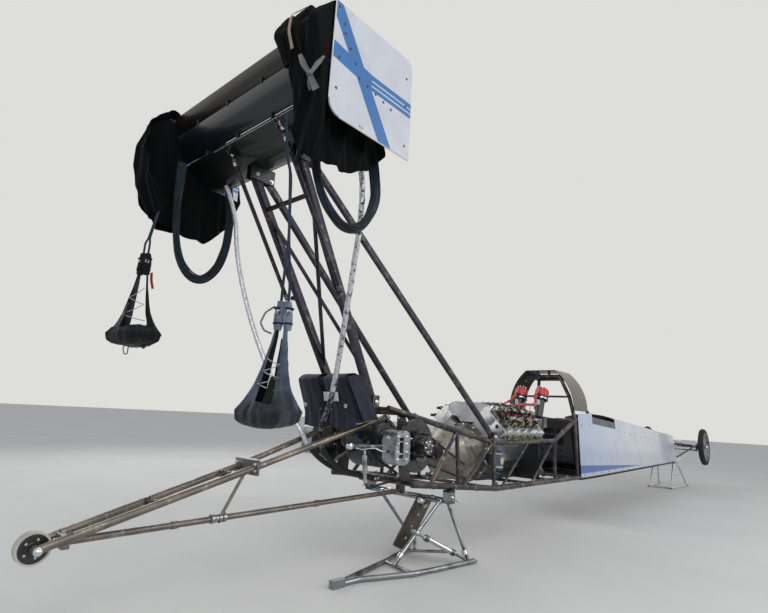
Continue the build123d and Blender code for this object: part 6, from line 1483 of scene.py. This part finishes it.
def make_stands():
    """Links, pins, collars, feet and rail pads on both stands."""
    knee = np.array([167.0, -240.0, 183.0])
    parts = Parts()
    parts.put("chrome", lathe([(-30, 8), (-28, 12), (-24, 14), (24, 14), (28, 12), (30, 8)], knee, (0.3, 1.0, 0), 20),
              rod((213, -269, 157), (386, -376, 60), 15.0), rod((231, -191, 140), (353, -97, 58), 13.0))
    brace = (273, -170, -153)
    parts.put("oiled steel", ring((228, -278, 148), brace, 14, 19, 26, 24),
              ring((372, -368, 68), brace, 14, 19, 22, 24))
    low, high = np.array([245.0, -62.5, 52.0]), np.array([373.0, -148.8, 352.0])
    rise = unit(high - low)
    wide = unit(np.array([1.0, 0.0, 0.0]) - rise * rise[0])
    parts.put("mill-finish plate",
              brick((low + high) / 2, (172, 9.0, np.linalg.norm(high - low)), 1.5,
                    np.array([wide, np.cross(rise, wide), rise])))
    feet = [(-480, -240), (-320, -250), (-10, -370), (180, -400), (500, -440), (50, -110), (400, 0), (850, 380)]
    parts.put("worn plating", *[ring((x, y, 15), UP, 13, 20, 12, 24) for x, y in feet])
    across = (0, 1, 0)
    collars = [((60, -221, 66), (320, -80, 332)), ((440, -408, 66), (-40, 138, 332)), ((335, -292, 348), across),
               ((335, 180, 352), across), ((415, -180, 352), across), ((415, 180, 352), across),
               ((640, 340, 184), (-435, -90, 337))]
    parts.put("chrome", *[ring(place, way, 11.5, 17, 26, 24) for place, way in collars])
    parts.put("chrome", rod((118, -296, 377), (150, -296, 368), 16.0))
    parts.put("chrome", nuts([(x, y, 300) for x, y in ((352, -154), (392, -140))], (0.35, -0.9, 0.25), 10, 9))
    parts.put("chrome", nuts([(268, -80, 110), (300, -98, 180), (332, -124, 250)], (0.35, -0.9, 0.25), 9, 8))
    for side in (-1, 1):
        parts.put("rubber hose", brick((375, side * 330, 414 - 1.2), (64, 54, 12), 3.0))
        parts.put("chrome", nuts([(375, side * 356, 378)], (0, side, 0), 8, 7))
        parts.put("chrome",
                  lathe([(0, 4), (34, 4), (36, 9), (42, 9), (44, 4)], (375, side * 362, 362), (0, side, 0), 14))
    piece("rear_stand_fittings", parts)
    middle = WHEELBASE - 720.0
    corners = [(middle - 400, -150), (middle + 380, -205), (middle + 380, 205), (middle - 400, 150)]
    front = Parts()
    front.put("rubber hose", *[ring((x, y, 12), UP, 11, 21, 14, 24) for x, y in corners])
    legs = [(middle + dx, side * 143, 330) for dx in (-118, 118) for side in (-1, 1)]
    front.put("chrome", *[ring(leg, (0.6, 0, 1), 11, 16, 22, 20) for leg in legs])
    piece("front_stand_fittings", front)


def placed(rows):
    """A numpy matrix as Blender's."""
    return Matrix([list(map(float, row)) for row in rows])


def look(place, aim):
    """The matrix of a lamp that stands at a place and shines on a point."""
    place, aim = np.asarray(place, float), np.asarray(aim, float)
    z = unit(place - aim)
    x = unit(np.cross((0, 0, 1), z))
    rows = np.eye(4)
    rows[:3, 0], rows[:3, 1], rows[:3, 2], rows[:3, 3] = x, np.cross(z, x), z, place
    return placed(rows)


# The photograph's camera, solved from known sizes of such cars
FOCAL_PX = 510.0
PICTURE_WIDTH_PX = 768.0
SENSOR_WIDTH = 36.0
CAMERA_PLACE = (-2410.0, -2220.0, 850.0)
CAMERA_RIGHT = (0.6613, -0.7482, 0.0537)
CAMERA_UP = (-0.1914, -0.0991, 0.9765)


def make_camera():
    """The camera of the photograph."""
    data = bpy.data.cameras.new("camera")
    data.sensor_width = SENSOR_WIDTH
    data.lens = FOCAL_PX / PICTURE_WIDTH_PX * SENSOR_WIDTH
    camera = bpy.data.objects.new("camera", data)
    rows = np.eye(4)
    rows[:3, 0], rows[:3, 1], rows[:3, 2] = CAMERA_RIGHT, CAMERA_UP, np.cross(CAMERA_RIGHT, CAMERA_UP)
    rows[:3, 3] = to_frame(CAMERA_PLACE)
    camera.matrix_world = placed(rows)
    bpy.context.scene.collection.objects.link(camera)
    bpy.context.scene.camera = camera


def make_stage(power):
    """Pale floor, pale sky for the camera and soft lamps."""
    data = bpy.data.meshes.new("floor")
    reach = 60.0
    data.from_pydata([(-reach, -reach, 0), (reach, -reach, 0), (reach, reach, 0), (-reach, reach, 0)], [],
                     [(0, 1, 2, 3)])
    floor = bpy.data.objects.new("floor", data)
    bpy.context.scene.collection.objects.link(floor)
    data.materials.append(worn("pale_floor", "#d5d4d1", "#d0cfcc", 1.2, (0.4, 0.6), (0.8, 0.88), 0.004, 0.0003, 0.2))
    world = bpy.data.worlds.new("sky")
    bpy.context.scene.world = world
    world.use_nodes = True
    tree = world.node_tree
    direct = add(tree, "LightPath", {}, "Is Camera Ray")
    mirrored_ray = add(tree, "LightPath", {}, "Is Glossy Ray")
    through = add(tree, "LightPath", {}, "Is Transmission Ray")
    seen = add(tree, "Math", {0: direct, 1: mirrored_ray}, operation="MAXIMUM")
    seen = add(tree, "Math", {0: seen, 1: through}, operation="MAXIMUM")
    lit = add(tree, "Background", {"Color": "#e8ecf2", "Strength": 0.6})
    shade = add(tree, "Background", {"Color": "#dededb", "Strength": 1.0})
    tree.links.new(add(tree, "MixShader", {0: seen, 1: lit, 2: shade}), tree.nodes["World Output"].inputs["Surface"])
    lamps = [("key", (-6.5, -5.5, 5.2), (-0.5, 0.0, 0.8), 5.0, 1.0),
             ("fill", (1.0, -7.0, 3.6), (0.0, 0.0, 0.6), 5.0, 0.62),
             ("back", (-2.0, 6.0, 4.8), (-1.0, 0.0, 1.0), 4.0, 0.5)]
    for name, place, aim, size, share in lamps:
        light = bpy.data.lights.new(name, "AREA")
        light.size = size
        light.energy = power * share
        lamp = bpy.data.objects.new(name, light)
        lamp.matrix_world = look(place, aim)
        bpy.context.scene.collection.objects.link(lamp)
    bpy.context.scene.view_settings.view_transform = "Standard"


# The frame's own nodes under each finish
NODE_FINISHES = {
    "bare tube": ("rear_frame", "engine_bay_frame", "cage_frame", "forward_frame"),
    "white enamel and painted slot light": ("nose_frame",),
    "body enamel": ("side_panel_right", "side_panel_left", "top_cover"),
    "satin sheet": ("cockpit_sides",),
    "dark laminate": ("belly_pan", "brake_discs", "seat"),
    "cowl laminate": ("cowl",),
    "milled aluminium": ("engine_block", "intake_manifold", "magneto_drive", "front_stand"),
    "black anodised": ("oil_pan", "motor_plate", "front_drive", "magnetos", "axle_housing", "front_axle_beam",
                       "knuckle_right", "knuckle_left", "tie_rod", "steering_wheel"),
    "bright plate": ("cylinder_heads",),
    "valve gear steel": ("valve_gear",),
    "titanium can": ("bellhousing",),
    "red moulding": ("magneto_leads",),
    "caliper silver": ("brake_calipers",),
    "oiled steel": ("rear_hubs",),
    "plate enamel": ("wing_endplates",),
    "strut tube": ("wing_uprights", "wing_struts"),
    "wing gloss": ("wing_main_plane",),
    "wing blue-black": ("wing_middle_flap",),
    "wing brown-black": ("wing_top_flap",),
    "bar tube": ("wheelie_frame",),
    "pale moulding": ("wheelie_wheel",),
    "polished rim": ("front_rim_right", "front_rim_left"),
    "tyre rubber": ("front_tyre_right", "front_tyre_left"),
    "worn plating": ("rear_stand",),
}


class DressingSettings(bpy.types.PropertyGroup):
    """Sizes and light that a user may change before building."""

    strands_right: IntProperty(name="Right lines", description="How many slack lines hang on the right", default=17,
                               min=6, max=40)
    strands_left: IntProperty(name="Left lines", description="How many slack lines hang on the left", default=18,
                              min=6, max=40)
    fold_depth: FloatProperty(name="Fold depth",
                              description="Depth of the wing cloth's folds at its hem, in millimetres", default=26.0,
                              min=5.0, max=40.0)
    lamp_power: FloatProperty(name="Lamp power", description="Power of the key lamp", default=235.0, min=50.0,
                              max=900.0, unit="POWER")
    cloth_tint: FloatVectorProperty(name="Cloth", description="Tint that the wing cloth's sheen takes",
                                    subtype="COLOR", default=(0.5, 0.55, 0.65), min=0.0, max=1.0)


def built(context, name):
    """The settings, once the frame is there to build on."""
    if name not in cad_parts:
        raise RuntimeError("the frame has no node " + name)
    return context.scene.dressing


class CordsOperator(bpy.types.Operator):
    """Builds the slack parachute lines and the tethers in their sleeves"""

    bl_idname = "dragster.cords"
    bl_label = "Lines and tethers"

    def execute(self, context):
        settings = built(context, "line_bundle_right")
        line_bundle("parachute_lines_right", "line_bundle_right", LINES_RIGHT, settings.strands_right)
        line_bundle("parachute_lines_left", "line_bundle_left", LINES_LEFT, settings.strands_left)
        tether("tether_sleeve_right", "tether_right", TETHER_RIGHT, "silvered sleeve", "scuffed sleeve")
        tether("tether_sleeve_left", "tether_left", TETHER_LEFT, "foil sleeve", "foil sleeve")
        return {"FINISHED"}


class ClothOperator(bpy.types.Operator):
    """Drapes the black cloth over both wing ends"""

    bl_idname = "dragster.cloth"
    bl_label = "Wing cloth"

    def execute(self, context):
        settings = built(context, "wing_drape_right")
        for side in (-1, 1):
            wing_cloth(side, settings.fold_depth)
        shader = coat("black cloth").node_tree.nodes["Principled BSDF"]
        shader.inputs["Sheen Tint"].default_value = [*settings.cloth_tint, 1.0]
        return {"FINISHED"}


def dress_nodes():
    """Gives each node of the frame that stays its finish."""
    for finish, nodes in NODE_FINISHES.items():
        for node in nodes:
            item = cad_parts[node]
            item.data.materials.clear()
            item.data.materials.append(coat(finish))


class StageOperator(bpy.types.Operator):
    """Lays the floor and sets the sky and the lamps"""

    bl_idname = "dragster.stage"
    bl_label = "Stage"

    def execute(self, context):
        make_stage(built(context, "rear_frame").lamp_power)
        return {"FINISHED"}


class CameraOperator(bpy.types.Operator):
    """Sets up the photograph's camera"""

    bl_idname = "dragster.camera"
    bl_label = "Camera"

    def execute(self, context):
        built(context, "rear_frame")
        make_camera()
        return {"FINISHED"}


class BagsOperator(bpy.types.Operator):
    """Builds both slack parachute bags"""

    bl_idname = "dragster.bags"
    bl_label = "Parachute bags"

    def execute(self, context):
        built(context, "chute_bag_right")
        make_bags()
        return {"FINISHED"}


class PacksOperator(bpy.types.Operator):
    """Builds both parachute packs"""

    bl_idname = "dragster.packs"
    bl_label = "Parachute packs"

    def execute(self, context):
        built(context, "chute_packs")
        make_packs()
        return {"FINISHED"}


class EngineOperator(bpy.types.Operator):
    """Builds studs, springs, lines and leads on the engine"""

    bl_idname = "dragster.engine"
    bl_label = "Engine fittings"

    def execute(self, context):
        built(context, "engine_block")
        make_engine()
        return {"FINISHED"}


class AxleOperator(bpy.types.Operator):
    """Builds bolts, brake parts and lines about the axle"""

    bl_idname = "dragster.axle"
    bl_label = "Axle fittings"

    def execute(self, context):
        built(context, "axle_housing")
        make_axle()
        return {"FINISHED"}


class FrameOperator(bpy.types.Operator):
    """Builds clamps, bolts and lines on the frame"""

    bl_idname = "dragster.frame"
    bl_label = "Frame fittings"

    def execute(self, context):
        built(context, "rear_frame")
        make_frame()
        return {"FINISHED"}


class WheelieOperator(bpy.types.Operator):
    """Builds bolts and faces of the wheelie wheel"""

    bl_idname = "dragster.wheelie"
    bl_label = "Wheelie fittings"

    def execute(self, context):
        built(context, "wheelie_wheel")
        make_wheelie()
        return {"FINISHED"}


class WingOperator(bpy.types.Operator):
    """Builds strips, screws and plates on the wing"""

    bl_idname = "dragster.wing"
    bl_label = "Wing fittings"

    def execute(self, context):
        built(context, "wing_endplates")
        make_wing()
        return {"FINISHED"}


class FrontOperator(bpy.types.Operator):
    """Builds spokes, caps and ribs of the front wheels"""

    bl_idname = "dragster.front"
    bl_label = "Front wheels"

    def execute(self, context):
        built(context, "front_rim_right")
        make_front()
        return {"FINISHED"}


class BodyOperator(bpy.types.Operator):
    """Builds panel fasteners, seat pad and belts"""

    bl_idname = "dragster.body"
    bl_label = "Body fittings"

    def execute(self, context):
        built(context, "side_panel_right")
        make_body()
        return {"FINISHED"}


class StandsOperator(bpy.types.Operator):
    """Builds links, feet and pads of both stands"""

    bl_idname = "dragster.stands"
    bl_label = "Stand fittings"

    def execute(self, context):
        built(context, "rear_stand")
        make_stands()
        return {"FINISHED"}


class FinishesOperator(bpy.types.Operator):
    """Gives the frame's own nodes their finishes"""

    bl_idname = "dragster.finishes"
    bl_label = "Finishes"

    def execute(self, context):
        built(context, "rear_frame")
        dress_nodes()
        return {"FINISHED"}


OPERATORS = [CameraOperator, CordsOperator, StageOperator, ClothOperator, BagsOperator, PacksOperator, EngineOperator,
             AxleOperator, FrameOperator, WheelieOperator, WingOperator, FrontOperator, BodyOperator, StandsOperator,
             FinishesOperator]


class DRAGSTER_PT_dressing(bpy.types.Panel):
    """Sidebar panel with the settings and the operators in order"""

    bl_label = "Dragster"
    bl_space_type = "VIEW_3D"
    bl_region_type = "UI"
    bl_category = "Dragster"

    def draw(self, context):
        for name in ("strands_right", "strands_left", "fold_depth", "lamp_power", "cloth_tint"):
            self.layout.prop(context.scene.dressing, name)
        for operator in OPERATORS:
            self.layout.operator(operator.bl_idname)


CLASSES = [DressingSettings, *OPERATORS, DRAGSTER_PT_dressing]


def register():
    """Registers the settings, operators and panel."""
    for item in CLASSES:
        bpy.utils.register_class(item)
    bpy.types.Scene.dressing = PointerProperty(type=DressingSettings)


def unregister():
    """Takes them back."""
    del bpy.types.Scene.dressing
    for item in reversed(CLASSES):
        bpy.utils.unregister_class(item)


def main():
    """Builds everything in order."""
    register()
    bpy.ops.dragster.camera()
    bpy.ops.dragster.cords()
    bpy.ops.dragster.stage()
    bpy.ops.dragster.cloth()
    bpy.ops.dragster.bags()
    bpy.ops.dragster.packs()
    bpy.ops.dragster.engine()
    bpy.ops.dragster.axle()
    bpy.ops.dragster.frame()
    bpy.ops.dragster.wheelie()
    bpy.ops.dragster.wing()
    bpy.ops.dragster.front()
    bpy.ops.dragster.body()
    bpy.ops.dragster.stands()
    bpy.ops.dragster.finishes()


if __name__ == "__main__":
    main()
